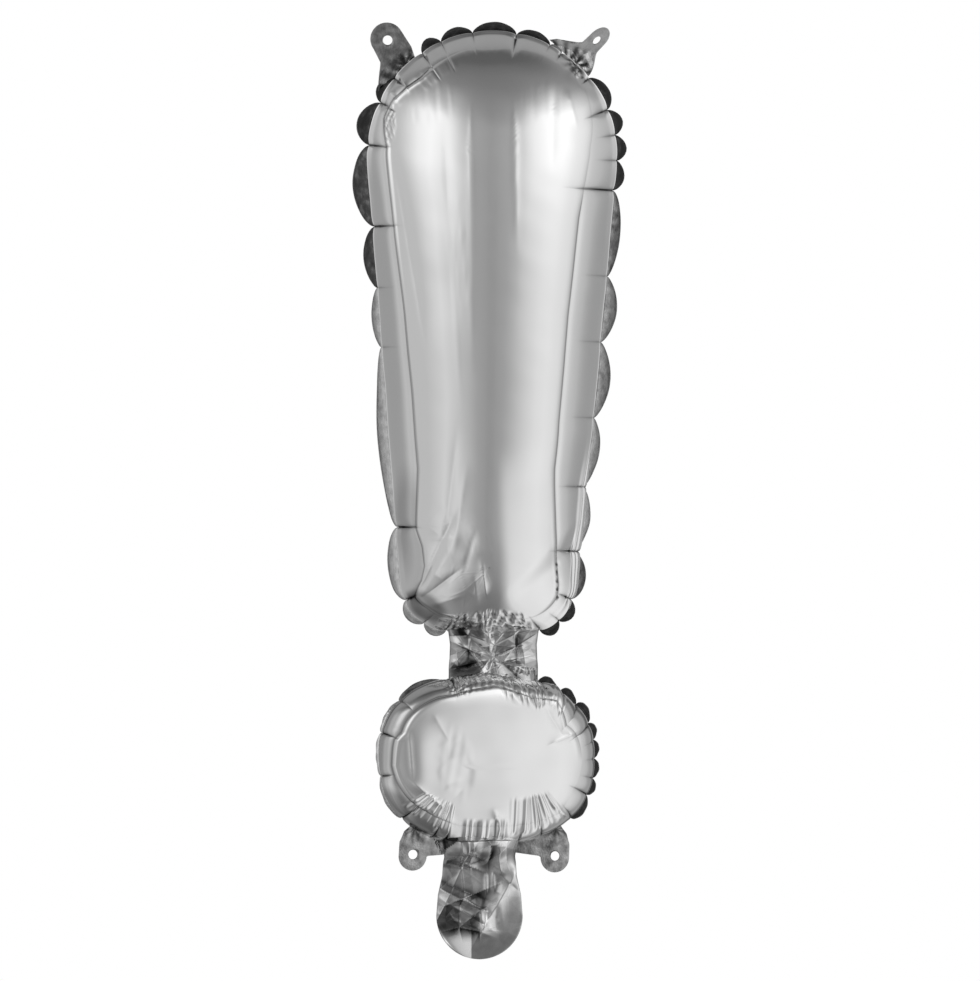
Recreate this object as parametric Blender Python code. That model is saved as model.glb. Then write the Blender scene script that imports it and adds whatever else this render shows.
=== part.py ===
"""A foil balloon shaped like an exclamation mark, hung by two punched tabs.

Two films are sealed together all round. The sealed edge puckers into scallops
when the bar and the dot are blown up. A crumpled neck of film joins bar and
dot, and a flat tail below the dot is the way in for the air.

+X is the balloon's right as seen from the front, the front faces -Y and +Z is
up. The origin lies midway between the punched holes of the two top tabs.
Sizes in the tables below are millimetres.
"""

import math

import bmesh
import bpy
import numpy as np

MM = 0.001
SHARP_ANGLE = math.radians(40)

# Film and seam. The real film is about 0.04 mm thick, too thin for a solid.
FILM = 1.0
SEAL_THICKNESS = 0.8
FILM_HALF_GAP = 0.225
SEAM_RISE = 0.7
SEAM_GAP = 0.5
STRIP_END_GAP = 0.6
PETAL_TILT = math.radians(24)
PETAL_FOOT = 0.8
PETAL_ROUNDNESS = 0.55
CRIMP_DEPTH = 1.4
CRIMP_WIDTH = 3.6

# How the air shapes a film: where its rings lie, first as shares of the edge
# band and then of the way from there to the spine, and its creases.
BAND_RINGS = (0.0, 0.3, 0.7, 1.0)
BULGE_RINGS = (0.07, 0.36, 0.78)
CREASE_DEPTH = 0.6
CREASE_WIDTH = 1.8
PINCH_DEPTH = 0.8
PINCH_REACH = 1.5
SETTLE_LENGTH = 3.0
SOURCE_COUNT = 90
SOURCE_DISTANCE = 15.0

# The bar: a tapered tube with round corners, given by its straight sides.
BAR_TOP = 4.2
BAR_BOTTOM = -251.0
BAR_LEFT_TOP = -57.4
BAR_LEFT_BOTTOM = -37.4
BAR_RIGHT_TOP = 58.2
BAR_RIGHT_BOTTOM = 34.6
BAR_TOP_RADIUS = 53.0
BAR_BOTTOM_RADIUS = 23.0
BAR_FULLNESS_TOP = 1.20
BAR_FULLNESS_BOTTOM = 1.45
BAR_EDGE = 17.0
BAR_POWER = 0.5
BAR_BAND = 10.5
BAR_SPINE_TOP = -52.0
BAR_SPINE_BOTTOM = -214.0

# The dot: flatter above, rounder below. It hangs turned about an upright line
# through its middle, and its sizes are measured in its own turned plane.
DOT_TURN = math.radians(18)
DOT_X = -1.8
DOT_Z = -307.3
DOT_HALF_WIDTH = 47.9
DOT_HALF_HEIGHT = 34.6
DOT_FULLNESS = 5.6
DOT_EDGE = 2.0
DOT_POWER = 0.2
DOT_BAND = 8.5
DOT_SPINE_HALF = 10.0
DOT_ROUNDNESS_ABOVE = 2.9
DOT_ROUNDNESS_BELOW = 2.15

# Creases where one scallop ends and the next begins, clockwise, with how far
# the scallop after each stands out. Tabs, neck and tail add their own creases.
BAR_CRIMPS = [
    (-22.1, 0.2, 4.0), (-8.3, 2.6, 4.2), (10.5, 2.6, 3.2), (25.3, -0.6, 1.2), (52.5, -28.0, 4.2),
    (54.4, -39.7, 4.0), (54.4, -51.0, 3.6), (52.6, -63.9, 4.2), (49.0, -100.0, 5.4),
    (46.5, -128.0, 5.2), (42.4, -160.0, 4.2), (39.7, -189.3, 4.0), (37.0, -216.8, 4.6),
    (34.6, -237.5, 3.4), (28.6, -246.5, 3.4), (-28.4, -246.3, 3.2),
    (-35.6, -236.8, 4.4), (-38.6, -206.3, 4.4), (-46.2, -130.0, 3.2), (-49.2, -105.0, 4.4),
    (-51.6, -79.2, 6.4), (-54.0, -44.4, 6.0), (-52.2, -24.0, 4.0),
]
DOT_CRIMPS = [
    (-41.4, -279.0, 1.8), (-47.9, -293.0, 1.0), (-49.7, -311.0, 1.0), (43.2, -321.0, 4.0),
    (45.9, -313.5, 4.0), (46.8, -305.0, 4.0), (45.7, -297.0, 4.0), (43.2, -290.0, 4.0),
    (37.9, -282.0, 4.0), (30.6, -276.5, 4.0),
]
BREAK_PETAL = 3.2
SEAM_STEP = 7.0
CURVE_STEP = 0.5

# The neck that joins bar and dot, and its fold line. Each web is given at three
# heights above its fold edge: the height, the width there and how far it swells.
NECK_FOLD_Z = -261.3
NECK_HALF = 20.0
WEB_WAIST = 0.93
WEB_ROWS = ((1.0, 1.0), (0.55, 0.965), (0.2, WEB_WAIST))
WEB_SWELL = 2.6
WEB_PUCKER = 0.2
NECK_EDGE_RADIUS = 0.4
NECK_EDGE_OFFSET = 0.6

# The tail, its fold line and its throat.
TAIL_FOLD_Z = -351.0
TAIL_X = -5.4
TAIL_HALF_ROOT = 15.2
TAIL_HALF_WIDE = 18.3
TAIL_WIDE_Z = -371.0
TAIL_END_Z = -389.4
TAIL_FILM = 0.4
TAIL_SLIT = 0.3
TAIL_EDGE_OFFSET = 0.55
TAIL_RIPPLE = 1.1
THROAT_HALF = 16.4
THROAT_EDGE_RADIUS = 0.3
THROAT_EDGE_OFFSET = 0.4
TAIL_ROWS = 14
TAIL_COLUMNS = 9

# The four punched tabs, each by its hole's centre and its root on the seam.
# The twist turns a tab about its own middle line, in degrees. The bottom tabs
# lie in the dot's turned plane.
TAB_HALF_WIDTH = 6.1
TAB_THICKNESS = 0.9
TAB_HOLE_RADIUS = 2.0
TAB_HOLE_SEGMENTS = 20
TAB_END_BEYOND_HOLE = 1.1
TAB_ROOT_HALF = 7.4
TAB_FLARE = 3.4
TAB_FLAT_FROM = 4.4
TAB_BREAK = 8.0
TAB_COLUMNS = 7
TABS = {
    "tab_top_left": {"hole": (-44.3, 0.0), "root": (-37.8, -8.6), "twist": 0.0},
    "tab_top_right": {"hole": (44.3, 0.0), "root": (37.6, -8.0), "twist": -34.0},
    "tab_bottom_left": {"hole": (-35.1, -344.3), "root": (-34.0, -334.0), "twist": 0.0},
    "tab_bottom_right": {"hole": (28.2, -346.3), "root": (29.1, -335.4), "twist": 0.0},
}

# Where pieces leave each seam: the middle of each and half its length there.
BAR_BREAKS = {
    "tab_top_left": (TABS["tab_top_left"]["root"], TAB_BREAK),
    "tab_top_right": (TABS["tab_top_right"]["root"], TAB_BREAK),
    "neck": ((0.3, BAR_BOTTOM), NECK_HALF),
}
DOT_BREAKS = {
    "tab_bottom_left": (TABS["tab_bottom_left"]["root"], TAB_BREAK),
    "tab_bottom_right": (TABS["tab_bottom_right"]["root"], TAB_BREAK),
    "neck": ((0.3, DOT_Z + DOT_HALF_HEIGHT), NECK_HALF),
    "tail": ((TAIL_X, DOT_Z - DOT_HALF_HEIGHT), THROAT_HALF),
}


def clear_scene():
    for leftover in list(bpy.data.objects):
        bpy.data.objects.remove(leftover, do_unlink=True)


def foil_material(name, colour, roughness):
    material = bpy.data.materials.new(name)
    material.use_nodes = True
    shader = material.node_tree.nodes["Principled BSDF"]
    shader.inputs["Base Color"].default_value = (*colour, 1.0)
    shader.inputs["Metallic"].default_value = 1.0
    shader.inputs["Roughness"].default_value = roughness
    return material


def add_object(name, builder, material, parent, sharp_angle=None):
    """Turn a bmesh in millimetres into a named object under its body's empty."""
    joint = np.array(parent.location)
    for vertex in builder.verts:
        vertex.co = [vertex.co[axis] * MM - joint[axis] for axis in range(3)]
    mesh = bpy.data.meshes.new(name)
    builder.to_mesh(mesh)
    builder.free()
    mesh.shade_smooth()
    if sharp_angle:
        mesh.set_sharp_from_angle(angle=sharp_angle)
    mesh.materials.append(material)
    piece = bpy.data.objects.new(name, mesh)
    bpy.context.collection.objects.link(piece)
    piece.parent = parent
    return piece


def add_wall(piece, thickness, offset):
    wall = piece.modifiers.new("film thickness", "SOLIDIFY")
    wall.thickness = thickness * MM
    wall.offset = offset


def arc(centre, radius, start_degrees, end_degrees, count):
    angles = np.radians(np.linspace(start_degrees, end_degrees, count))
    return np.column_stack([centre[0] + radius * np.cos(angles), centre[1] + radius * np.sin(angles)])


def lengths_along(closed):
    return np.concatenate([[0], np.cumsum(np.hypot(*np.diff(closed, axis=0).T))])


def evenly_spaced(curve):
    """The same closed curve with a point about every half millimetre."""
    closed = np.vstack([curve, curve[:1]])
    lengths = lengths_along(closed)
    at = np.linspace(0, lengths[-1], round(lengths[-1] / CURVE_STEP), endpoint=False)
    return np.column_stack([np.interp(at, lengths, closed[:, axis]) for axis in range(2)])


def bar_curve():
    """Dense closed outline of the bar's seam, clockwise from the top centre."""
    left = np.array([[BAR_LEFT_BOTTOM, BAR_BOTTOM], [BAR_LEFT_TOP, BAR_TOP]])
    right = np.array([[BAR_RIGHT_TOP, BAR_TOP], [BAR_RIGHT_BOTTOM, BAR_BOTTOM]])
    left_lean = math.degrees(math.atan2(left[0, 0] - left[1, 0], left[1, 1] - left[0, 1]))
    right_lean = math.degrees(math.atan2(right[0, 0] - right[1, 0], right[0, 1] - right[1, 1]))

    def corner(x_side, z_edge, radius, lean, side, end):
        """Centre of the arc that touches the level edge and the leaning side."""
        tilt = math.radians(lean)
        centre_z = z_edge - end * radius
        inset = (radius - math.sin(tilt) * (centre_z - z_edge)) / math.cos(tilt)
        return (x_side - side * inset, centre_z)

    top_right = corner(BAR_RIGHT_TOP, BAR_TOP, BAR_TOP_RADIUS, right_lean, 1, 1)
    bottom_right = corner(BAR_RIGHT_BOTTOM, BAR_BOTTOM, BAR_BOTTOM_RADIUS, right_lean, 1, -1)
    bottom_left = corner(BAR_LEFT_BOTTOM, BAR_BOTTOM, BAR_BOTTOM_RADIUS, left_lean, -1, -1)
    top_left = corner(BAR_LEFT_TOP, BAR_TOP, BAR_TOP_RADIUS, left_lean, -1, 1)
    return evenly_spaced(np.vstack([
        arc(top_right, BAR_TOP_RADIUS, 90, -right_lean, 60),
        arc(bottom_right, BAR_BOTTOM_RADIUS, -right_lean, -90, 40),
        arc(bottom_left, BAR_BOTTOM_RADIUS, -90, -180 + left_lean, 40),
        arc(top_left, BAR_TOP_RADIUS, 180 + left_lean, 90, 60),
    ]))


def dot_curve():
    """Dense closed outline of the dot's seam, clockwise from the top centre."""
    angles = np.linspace(0, 2 * math.pi, 240, endpoint=False)
    across = np.sin(angles)
    upward = np.cos(angles)
    power = np.where(upward > 0, DOT_ROUNDNESS_ABOVE, DOT_ROUNDNESS_BELOW)
    reach = (np.abs(across) ** power + np.abs(upward) ** power) ** (-1 / power)
    return evenly_spaced(np.column_stack([DOT_X + DOT_HALF_WIDTH * across * reach,
                                          DOT_Z + DOT_HALF_HEIGHT * upward * reach]))


class Seam:
    """A closed seam line in an upright plane, sampled so that each crease falls on a sample."""

    def __init__(self, curve, crimps, breaks, spine_start, spine_end, middle_x=0.0, turn=0.0):
        self.middle_x = middle_x
        self.turn = turn
        closed = np.vstack([curve, curve[:1]])
        self.curve = closed
        self.lengths = lengths_along(closed)
        self.perimeter = self.lengths[-1]
        creases = [(self.length_at((x, z)), width) for x, z, width in crimps]
        creases += [(place % self.perimeter, BREAK_PETAL) for place in breaks]
        creases.sort()
        samples = []
        widths = []
        for index, (start, width) in enumerate(creases):
            end = creases[(index + 1) % len(creases)][0]
            span = (end - start) % self.perimeter
            steps = max(4, round(span / SEAM_STEP))
            fractions = np.arange(steps) / steps
            samples.append(start + fractions * span)
            widths.append(PETAL_FOOT + width * np.sin(math.pi * fractions) ** PETAL_ROUNDNESS)
        self.at = np.concatenate(samples) % self.perimeter
        self.petal = np.concatenate(widths)
        order = np.argsort(self.at)
        self.at = self.at[order]
        self.petal = self.petal[order]
        self.out = self.outward(self.at)
        crease_at = np.array([start for start, _ in creases])
        apart = np.abs(self.at[:, None] - crease_at[None, :])
        apart = np.minimum(apart, self.perimeter - apart)
        self.pinch = np.exp(-((apart.min(axis=1) / CRIMP_WIDTH) ** 2))
        self.line = self.point(self.at) - self.out * (CRIMP_DEPTH * self.pinch)[:, None]
        start = np.array(spine_start)
        along = np.array(spine_end) - start
        self.share = np.clip(((self.line - start) @ along) / (along @ along), 0, 1)
        self.spine = start + self.share[:, None] * along

    def in_space(self, x, y, z):
        """A point x, z of the seam's plane, y behind it, once the plane is turned."""
        across = x - self.middle_x
        return (self.middle_x + across * math.cos(self.turn) - y * math.sin(self.turn),
                across * math.sin(self.turn) + y * math.cos(self.turn), z)

    def length_at(self, spot):
        """Distance along the seam of its point nearest to a spot."""
        nearest = np.argmin(np.hypot(self.curve[:, 0] - spot[0], self.curve[:, 1] - spot[1]))
        return self.lengths[nearest]

    def point(self, at):
        at = np.asarray(at) % self.perimeter
        return np.column_stack([np.interp(at, self.lengths, self.curve[:, axis]) for axis in range(2)])

    def outward(self, at):
        ahead = self.point(np.asarray(at) + CURVE_STEP) - self.point(np.asarray(at) - CURVE_STEP)
        ahead /= np.hypot(*ahead.T)[:, None]
        return np.column_stack([-ahead[:, 1], ahead[:, 0]])

    def between(self, start, end):
        """Sample numbers met going clockwise between two distances along the seam."""
        count = len(self.at)
        first = np.argmin(np.abs(self.at - start % self.perimeter))
        last = np.argmin(np.abs(self.at - end % self.perimeter))
        return [(first + step) % count for step in range((last - first) % count + 1)]


def seam_with_breaks(curve, crimps, breaks, spine, middle_x=0.0, turn=0.0):
    """A seam with a crease on each side of every piece that leaves it."""
    plain = Seam(curve, crimps, [], *spine)
    places = []
    for spot, half in breaks.values():
        middle = plain.length_at(spot)
        places += [middle - half, middle + half]
    return Seam(curve, crimps, places, *spine, middle_x, turn)


class BlownHeight:
    """Height h of a film that air pushes out evenly: laplace(h) = -1, and h = 0 on the seam.

    h is minus a quarter of the squared distance from the middle, plus the logarithms
    of the distances to sources set round the outside of the seam. Their strengths are
    chosen to make h vanish on the seam.
    """

    def __init__(self, seam):
        at = np.linspace(0, seam.perimeter, SOURCE_COUNT, endpoint=False)
        self.middle = seam.point(at).mean(axis=0)
        self.sources = seam.point(at) + seam.outward(at) * SOURCE_DISTANCE
        tests = seam.point(np.linspace(0, seam.perimeter, 3 * SOURCE_COUNT, endpoint=False))
        self.strengths = np.linalg.lstsq(self.logarithms(tests), self.bowl(tests), rcond=1e-9)[0]

    def logarithms(self, points):
        apart = points[..., None, :] - self.sources
        return np.log(np.hypot(apart[..., 0], apart[..., 1]))

    def bowl(self, points):
        return ((points - self.middle) ** 2).sum(axis=-1) / 4

    def at(self, points):
        return self.logarithms(points) @ self.strengths - self.bowl(points)


def film_shell(seam, fullness, edge, power, band, side):
    """One blown film: an edge band, the crease inside it and the main bulge.

    Where the air gives the height h, the film stands C ((h + e^2)^p - e^2p) out from
    the seam's plane. C is the fullness at either end of the spine, e sets the angle
    at which the two films meet, and a smaller power p gives a flatter face.
    """
    inward = seam.spine - seam.line
    reach = np.hypot(*inward.T)
    inward = inward / reach[:, None]
    travels = [np.full(len(reach), band * share) for share in BAND_RINGS]
    travels += [band + (reach - band) * share for share in BULGE_RINGS]
    travel = np.array(travels)
    flat = seam.line + inward * travel[..., None]
    height = BlownHeight(seam).at(flat)
    height = np.maximum(height - height[0] * np.exp(-travel / SETTLE_LENGTH), 0)
    scale = fullness[0] + (fullness[1] - fullness[0]) * seam.share
    depth = SEAM_RISE + scale * ((height + edge ** 2) ** power - edge ** (2 * power))
    depth -= CREASE_DEPTH * np.exp(-(((travel - band) / CREASE_WIDTH) ** 2))
    depth -= PINCH_DEPTH * seam.pinch * np.sin(math.pi * np.clip(travel / (PINCH_REACH * band), 0, 1))
    flat = np.concatenate([flat[:1], flat])
    depth = np.concatenate([np.zeros((1, len(reach))), depth]) + FILM_HALF_GAP
    builder = bmesh.new()
    rings = []
    for ring_points, ring_depths in zip(flat, depth):
        rings.append([builder.verts.new(seam.in_space(x, side * y, z))
                      for (x, z), y in zip(ring_points, ring_depths)])
    count = len(reach)
    for outer, inner in zip(rings, rings[1:]):
        for index in range(count):
            following = (index + 1) % count
            builder.faces.new([outer[index], outer[following], inner[following], inner[index]])
    inner_edges = [builder.edges.get([rings[-1][i], rings[-1][(i + 1) % count]]) for i in range(count)]
    bmesh.ops.triangle_fill(builder, use_beauty=True, edges=inner_edges)
    bmesh.ops.recalc_face_normals(builder, faces=builder.faces)
    middle = max(builder.faces, key=lambda face: side * face.calc_center_median().y)
    if middle.normal.y * side < 0:
        bmesh.ops.reverse_faces(builder, faces=builder.faces)
    return builder


def seal_strip(seam, numbers):
    """The sealed edge outside the seam: a row of scallops that lean back."""
    builder = bmesh.new()
    rows = []
    for number in numbers:
        along = seam.out[number]
        width = seam.petal[number]
        row = []
        for share in (0.0, 0.5, 1.0):
            distance = SEAM_GAP + share * width * math.cos(PETAL_TILT)
            back = share * width * math.sin(PETAL_TILT)
            spot = seam.line[number] + along * distance
            row.append(builder.verts.new(seam.in_space(spot[0], back, spot[1])))
        rows.append(row)
    for end, beside in ((rows[0], rows[1]), (rows[-1], rows[-2])):
        for corner, inner in zip(end, beside):
            step = inner.co - corner.co
            corner.co += step.normalized() * STRIP_END_GAP
    for one, two in zip(rows, rows[1:]):
        for column in range(2):
            builder.faces.new([one[column], two[column], two[column + 1], one[column + 1]])
    bmesh.ops.recalc_face_normals(builder, faces=builder.faces)
    return builder


def half_round(radius, count=5):
    """Points of a half circle from +y through the end to -y, as (y, drop) pairs."""
    angles = np.linspace(0, math.pi, count)
    return [(radius * math.cos(angle), radius * math.sin(angle)) for angle in angles]


def web(seam, numbers, fold_z, edge):
    """A crumpled web from a seam's edge to a fold line, with a half-round fold edge.

    Each column is a loop that goes up the front, over the seam end, down the
    back and round the fold edge. The web swells towards the seam, and turns with it.
    """
    edge_radius, edge_offset = edge
    points = sorted(tuple(seam.line[number] + seam.out[number] * SEAM_GAP) for number in numbers)
    middle = np.mean([x for x, _ in points])
    half = max(abs(x - middle) for x, _ in points)
    builder = bmesh.new()
    loops = []
    for x, z in points:
        share = (x - middle) / half
        seam_x, seam_y, _ = seam.in_space(x, 0, z)
        down = math.copysign(1, z - fold_z)
        edge_z = fold_z + down * edge_offset
        pucker = 1 - WEB_PUCKER + WEB_PUCKER * math.cos(3 * math.pi * share)
        profile = []
        for height, narrowing in WEB_ROWS:
            puff = edge_radius + WEB_SWELL * height ** 1.5 * math.sqrt(max(0.0, 1 - share ** 2)) * pucker
            profile.append((middle + (seam_x - middle) * narrowing, seam_y * height, puff,
                            edge_z + (z - edge_z) * height))
        front = [(px, py - puff, pz) for px, py, puff, pz in profile]
        back = [(px, py + puff, pz) for px, py, puff, pz in profile]
        tip = [(middle + (seam_x - middle) * WEB_WAIST, y, edge_z - down * drop)
               for y, drop in half_round(edge_radius)]
        loops.append([builder.verts.new(point) for point in back + tip + front[::-1]])
    size = len(loops[0])
    for one, two in zip(loops, loops[1:]):
        for index in range(size):
            following = (index + 1) % size
            builder.faces.new([one[index], two[index], two[following], one[following]])
    builder.faces.new(loops[0])
    builder.faces.new(list(reversed(loops[-1])))
    bmesh.ops.recalc_face_normals(builder, faces=builder.faces)
    return builder


def tab(seam, hole, root, twist):
    """A punched tab whose root follows the seam and whose head is flat.

    Points are (across, along) from the root, in the tab's own plane. The twist
    turns all but the root about the tab's middle line.
    """
    root_at = seam.length_at(root)
    centre = seam.point([root_at])[0]
    along = np.array(hole) - centre
    hole_at = np.hypot(*along)
    along /= hole_at
    across = np.array([along[1], -along[0]])
    turn = math.radians(twist)

    def twisted(x, z):
        flat = centre + along * z + across * x * math.cos(turn)
        return seam.in_space(flat[0], x * math.sin(turn), flat[1])

    builder = bmesh.new()
    columns = np.linspace(-1, 1, TAB_COLUMNS)
    seam_side = root_at + columns * TAB_ROOT_HALF
    foot = seam.point(seam_side) + seam.outward(seam_side) * SEAM_GAP
    rows = [[builder.verts.new(seam.in_space(x, 0, z)) for x, z in foot]]
    for height in (TAB_FLARE, TAB_FLAT_FROM):
        rows.append([builder.verts.new(twisted(column * TAB_HALF_WIDTH, height)) for column in columns])
    for one, two in zip(rows, rows[1:]):
        for index in range(TAB_COLUMNS - 1):
            builder.faces.new([one[index], one[index + 1], two[index + 1], two[index]])
    end = arc((0, hole_at + TAB_END_BEYOND_HOLE), TAB_HALF_WIDTH, 0, 180, 13)
    rim = rows[-1] + [builder.verts.new(twisted(x, z)) for x, z in end]
    circle = arc((0, hole_at), TAB_HOLE_RADIUS, 0, 360, TAB_HOLE_SEGMENTS + 1)[:-1]
    hole_ring = [builder.verts.new(twisted(x, z)) for x, z in circle]
    edges = []
    for ring in (rim, hole_ring):
        for one, two in zip(ring, ring[1:] + ring[:1]):
            edges.append(builder.edges.get([one, two]) or builder.edges.new([one, two]))
    bmesh.ops.triangle_fill(builder, use_beauty=True, edges=edges)
    bmesh.ops.recalc_face_normals(builder, faces=builder.faces)
    return builder


def tail_outline(share):
    """Half width of the tail from its fold (0) to its round end (1)."""
    z = TAIL_FOLD_Z - TAIL_EDGE_OFFSET - share * (TAIL_FOLD_Z - TAIL_EDGE_OFFSET - TAIL_END_Z)
    if z > TAIL_WIDE_Z:
        blend = (TAIL_FOLD_Z - z) / (TAIL_FOLD_Z - TAIL_WIDE_Z)
        half = TAIL_HALF_ROOT + (TAIL_HALF_WIDE - TAIL_HALF_ROOT) * math.sin(blend * math.pi / 2)
    else:
        blend = (TAIL_WIDE_Z - z) / (TAIL_WIDE_Z - TAIL_END_Z)
        half = TAIL_HALF_WIDE * math.sqrt(max(0.02, 1 - blend ** 2))
    return half, z


def tail_film(side):
    """One film of the flat tail, with soft cross creases shared by both films."""
    builder = bmesh.new()
    rows = []
    across = np.linspace(-1, 1, TAIL_COLUMNS)
    for share in np.sin(np.linspace(0, math.pi / 2, TAIL_ROWS)):
        half, z = tail_outline(share)
        fade = min(1.0, share * 3)
        row = []
        for place in across:
            ripple = TAIL_RIPPLE * fade * math.sin(share * 11 + 1.6 * abs(place))
            y = ripple + side * (TAIL_SLIT * (1 + fade) / 2 + TAIL_FILM / 2)
            row.append(builder.verts.new((TAIL_X + place * half, y, z)))
        rows.append(row)
    for one, two in zip(rows, rows[1:]):
        for column in range(len(across) - 1):
            builder.faces.new([one[column], two[column], two[column + 1], one[column + 1]])
    bmesh.ops.recalc_face_normals(builder, faces=builder.faces)
    return builder


def add_bodies():
    """An empty for each body, with its origin on the line that it folds about."""
    bodies = {}
    for name, z in (("bar", 0.0), ("dot", NECK_FOLD_Z), ("tail", TAIL_FOLD_Z)):
        empty = bpy.data.objects.new(f"{name}_frame", None)
        empty.location = (0, 0, z * MM)
        bpy.context.collection.objects.link(empty)
        bodies[name] = empty
    return bodies


def make_seams():
    bar_middle = (BAR_LEFT_TOP + BAR_RIGHT_TOP) / 2
    foot_middle = (BAR_LEFT_BOTTOM + BAR_RIGHT_BOTTOM) / 2
    bar_spine = ((bar_middle, BAR_SPINE_TOP), (foot_middle, BAR_SPINE_BOTTOM))
    dot_spine = ((DOT_X - DOT_SPINE_HALF, DOT_Z), (DOT_X + DOT_SPINE_HALF, DOT_Z))
    bar_seam = seam_with_breaks(bar_curve(), BAR_CRIMPS, BAR_BREAKS, bar_spine)
    dot_seam = seam_with_breaks(dot_curve(), DOT_CRIMPS, DOT_BREAKS, dot_spine, DOT_X, DOT_TURN)
    return bar_seam, dot_seam


def add_films(bar_seam, dot_seam, silver, bodies):
    bar_fullness = (BAR_FULLNESS_TOP, BAR_FULLNESS_BOTTOM)
    dot_fullness = (DOT_FULLNESS, DOT_FULLNESS)
    for label, side in (("front", -1), ("back", 1)):
        bar_film = film_shell(bar_seam, bar_fullness, BAR_EDGE, BAR_POWER, BAR_BAND, side)
        add_wall(add_object(f"bar_{label}_film", bar_film, silver, bodies["bar"]), FILM, -1)
        dot_film = film_shell(dot_seam, dot_fullness, DOT_EDGE, DOT_POWER, DOT_BAND, side)
        add_wall(add_object(f"dot_{label}_film", dot_film, silver, bodies["dot"]), FILM, -1)


def add_sealed_edges(bar_seam, dot_seam, seal, bodies):
    bar_at = {name: bar_seam.length_at(spot) for name, (spot, _) in BAR_BREAKS.items()}
    dot_at = {name: dot_seam.length_at(spot) for name, (spot, _) in DOT_BREAKS.items()}
    left, right, neck = (bar_at[name] for name in ("tab_top_left", "tab_top_right", "neck"))
    low_left, low_right, head = (dot_at[name] for name in ("tab_bottom_left", "tab_bottom_right", "neck"))
    strips = [
        ("bar_sealed_edge_top", bar_seam, left + TAB_BREAK, right - TAB_BREAK, "bar"),
        ("bar_sealed_edge_right", bar_seam, right + TAB_BREAK, neck - NECK_HALF, "bar"),
        ("bar_sealed_edge_left", bar_seam, neck + NECK_HALF, left - TAB_BREAK, "bar"),
        ("dot_sealed_edge_right", dot_seam, head + NECK_HALF, low_right - TAB_BREAK, "dot"),
        ("dot_sealed_edge_left", dot_seam, low_left + TAB_BREAK, head - NECK_HALF, "dot"),
    ]
    for name, seam, start, end, body in strips:
        strip = add_object(name, seal_strip(seam, seam.between(start, end)), seal, bodies[body], SHARP_ANGLE)
        add_wall(strip, SEAL_THICKNESS, 0)


def add_webs(bar_seam, dot_seam, silver, bodies):
    neck_edge = (NECK_EDGE_RADIUS, NECK_EDGE_OFFSET)
    throat_edge = (THROAT_EDGE_RADIUS, THROAT_EDGE_OFFSET)
    webs = [
        ("neck_upper_web", bar_seam, BAR_BREAKS["neck"], NECK_FOLD_Z, neck_edge, "bar"),
        ("neck_lower_web", dot_seam, DOT_BREAKS["neck"], NECK_FOLD_Z, neck_edge, "dot"),
        ("tail_throat", dot_seam, DOT_BREAKS["tail"], TAIL_FOLD_Z, throat_edge, "dot"),
    ]
    for name, seam, (spot, half), fold_z, edge, body in webs:
        middle = seam.length_at(spot)
        numbers = seam.between(middle - half, middle + half)
        add_object(name, web(seam, numbers, fold_z, edge), silver, bodies[body], SHARP_ANGLE)


def add_tail(silver, bodies):
    for label, side in (("front", -1), ("back", 1)):
        film = add_object(f"tail_{label}_film", tail_film(side), silver, bodies["tail"], SHARP_ANGLE)
        add_wall(film, TAIL_FILM, 0)


def add_tabs(bar_seam, dot_seam, seal, bodies):
    for name, sizes in TABS.items():
        body, seam = ("bar", bar_seam) if "top" in name else ("dot", dot_seam)
        builder = tab(seam, sizes["hole"], sizes["root"], sizes["twist"])
        add_wall(add_object(name, builder, seal, bodies[body], SHARP_ANGLE), TAB_THICKNESS, 0)


def build_balloon():
    clear_scene()
    silver = foil_material("silver foil", (0.78, 0.78, 0.79), 0.16)
    seal = foil_material("sealed foil edge", (0.62, 0.62, 0.63), 0.3)
    bodies = add_bodies()
    bar_seam, dot_seam = make_seams()
    add_films(bar_seam, dot_seam, silver, bodies)
    add_sealed_edges(bar_seam, dot_seam, seal, bodies)
    add_webs(bar_seam, dot_seam, silver, bodies)
    add_tail(silver, bodies)
    add_tabs(bar_seam, dot_seam, seal, bodies)


build_balloon()
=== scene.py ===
# %% [markdown]
# # A silver foil balloon in the shape of an exclamation mark
#
# The balloon is two sheets of metallised film, sealed to each other along one outline and
# blown up. Film bends but doesn't stretch, so the flat outline has to get shorter as the
# balloon gets thick: its edge puckers into scallops, and every scallop starts in a crimp.
# A mirror shows the slope of its surface and little else, so this lesson is about slopes:
# each film is one smooth blown shape, plus small lifts for band, crease, crimps and folds.

# %% Load the frame
import math

import bpy
import numpy as np
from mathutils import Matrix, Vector
from mathutils.geometry import delaunay_2d_cdt


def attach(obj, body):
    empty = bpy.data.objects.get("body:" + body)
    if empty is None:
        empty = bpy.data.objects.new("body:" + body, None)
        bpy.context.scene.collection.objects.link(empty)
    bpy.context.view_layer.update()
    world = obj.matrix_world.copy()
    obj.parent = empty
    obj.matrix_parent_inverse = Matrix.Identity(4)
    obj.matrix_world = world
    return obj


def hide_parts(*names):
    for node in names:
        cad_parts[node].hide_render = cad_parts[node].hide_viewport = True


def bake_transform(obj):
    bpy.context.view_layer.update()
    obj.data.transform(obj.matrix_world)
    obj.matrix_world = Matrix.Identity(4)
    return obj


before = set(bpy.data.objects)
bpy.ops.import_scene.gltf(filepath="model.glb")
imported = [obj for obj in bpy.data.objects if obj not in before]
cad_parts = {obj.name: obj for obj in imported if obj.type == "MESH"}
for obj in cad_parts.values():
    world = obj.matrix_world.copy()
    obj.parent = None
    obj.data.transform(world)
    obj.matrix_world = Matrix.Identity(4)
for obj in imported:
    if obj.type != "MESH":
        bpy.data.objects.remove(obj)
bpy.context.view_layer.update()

MM = 0.001

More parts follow.
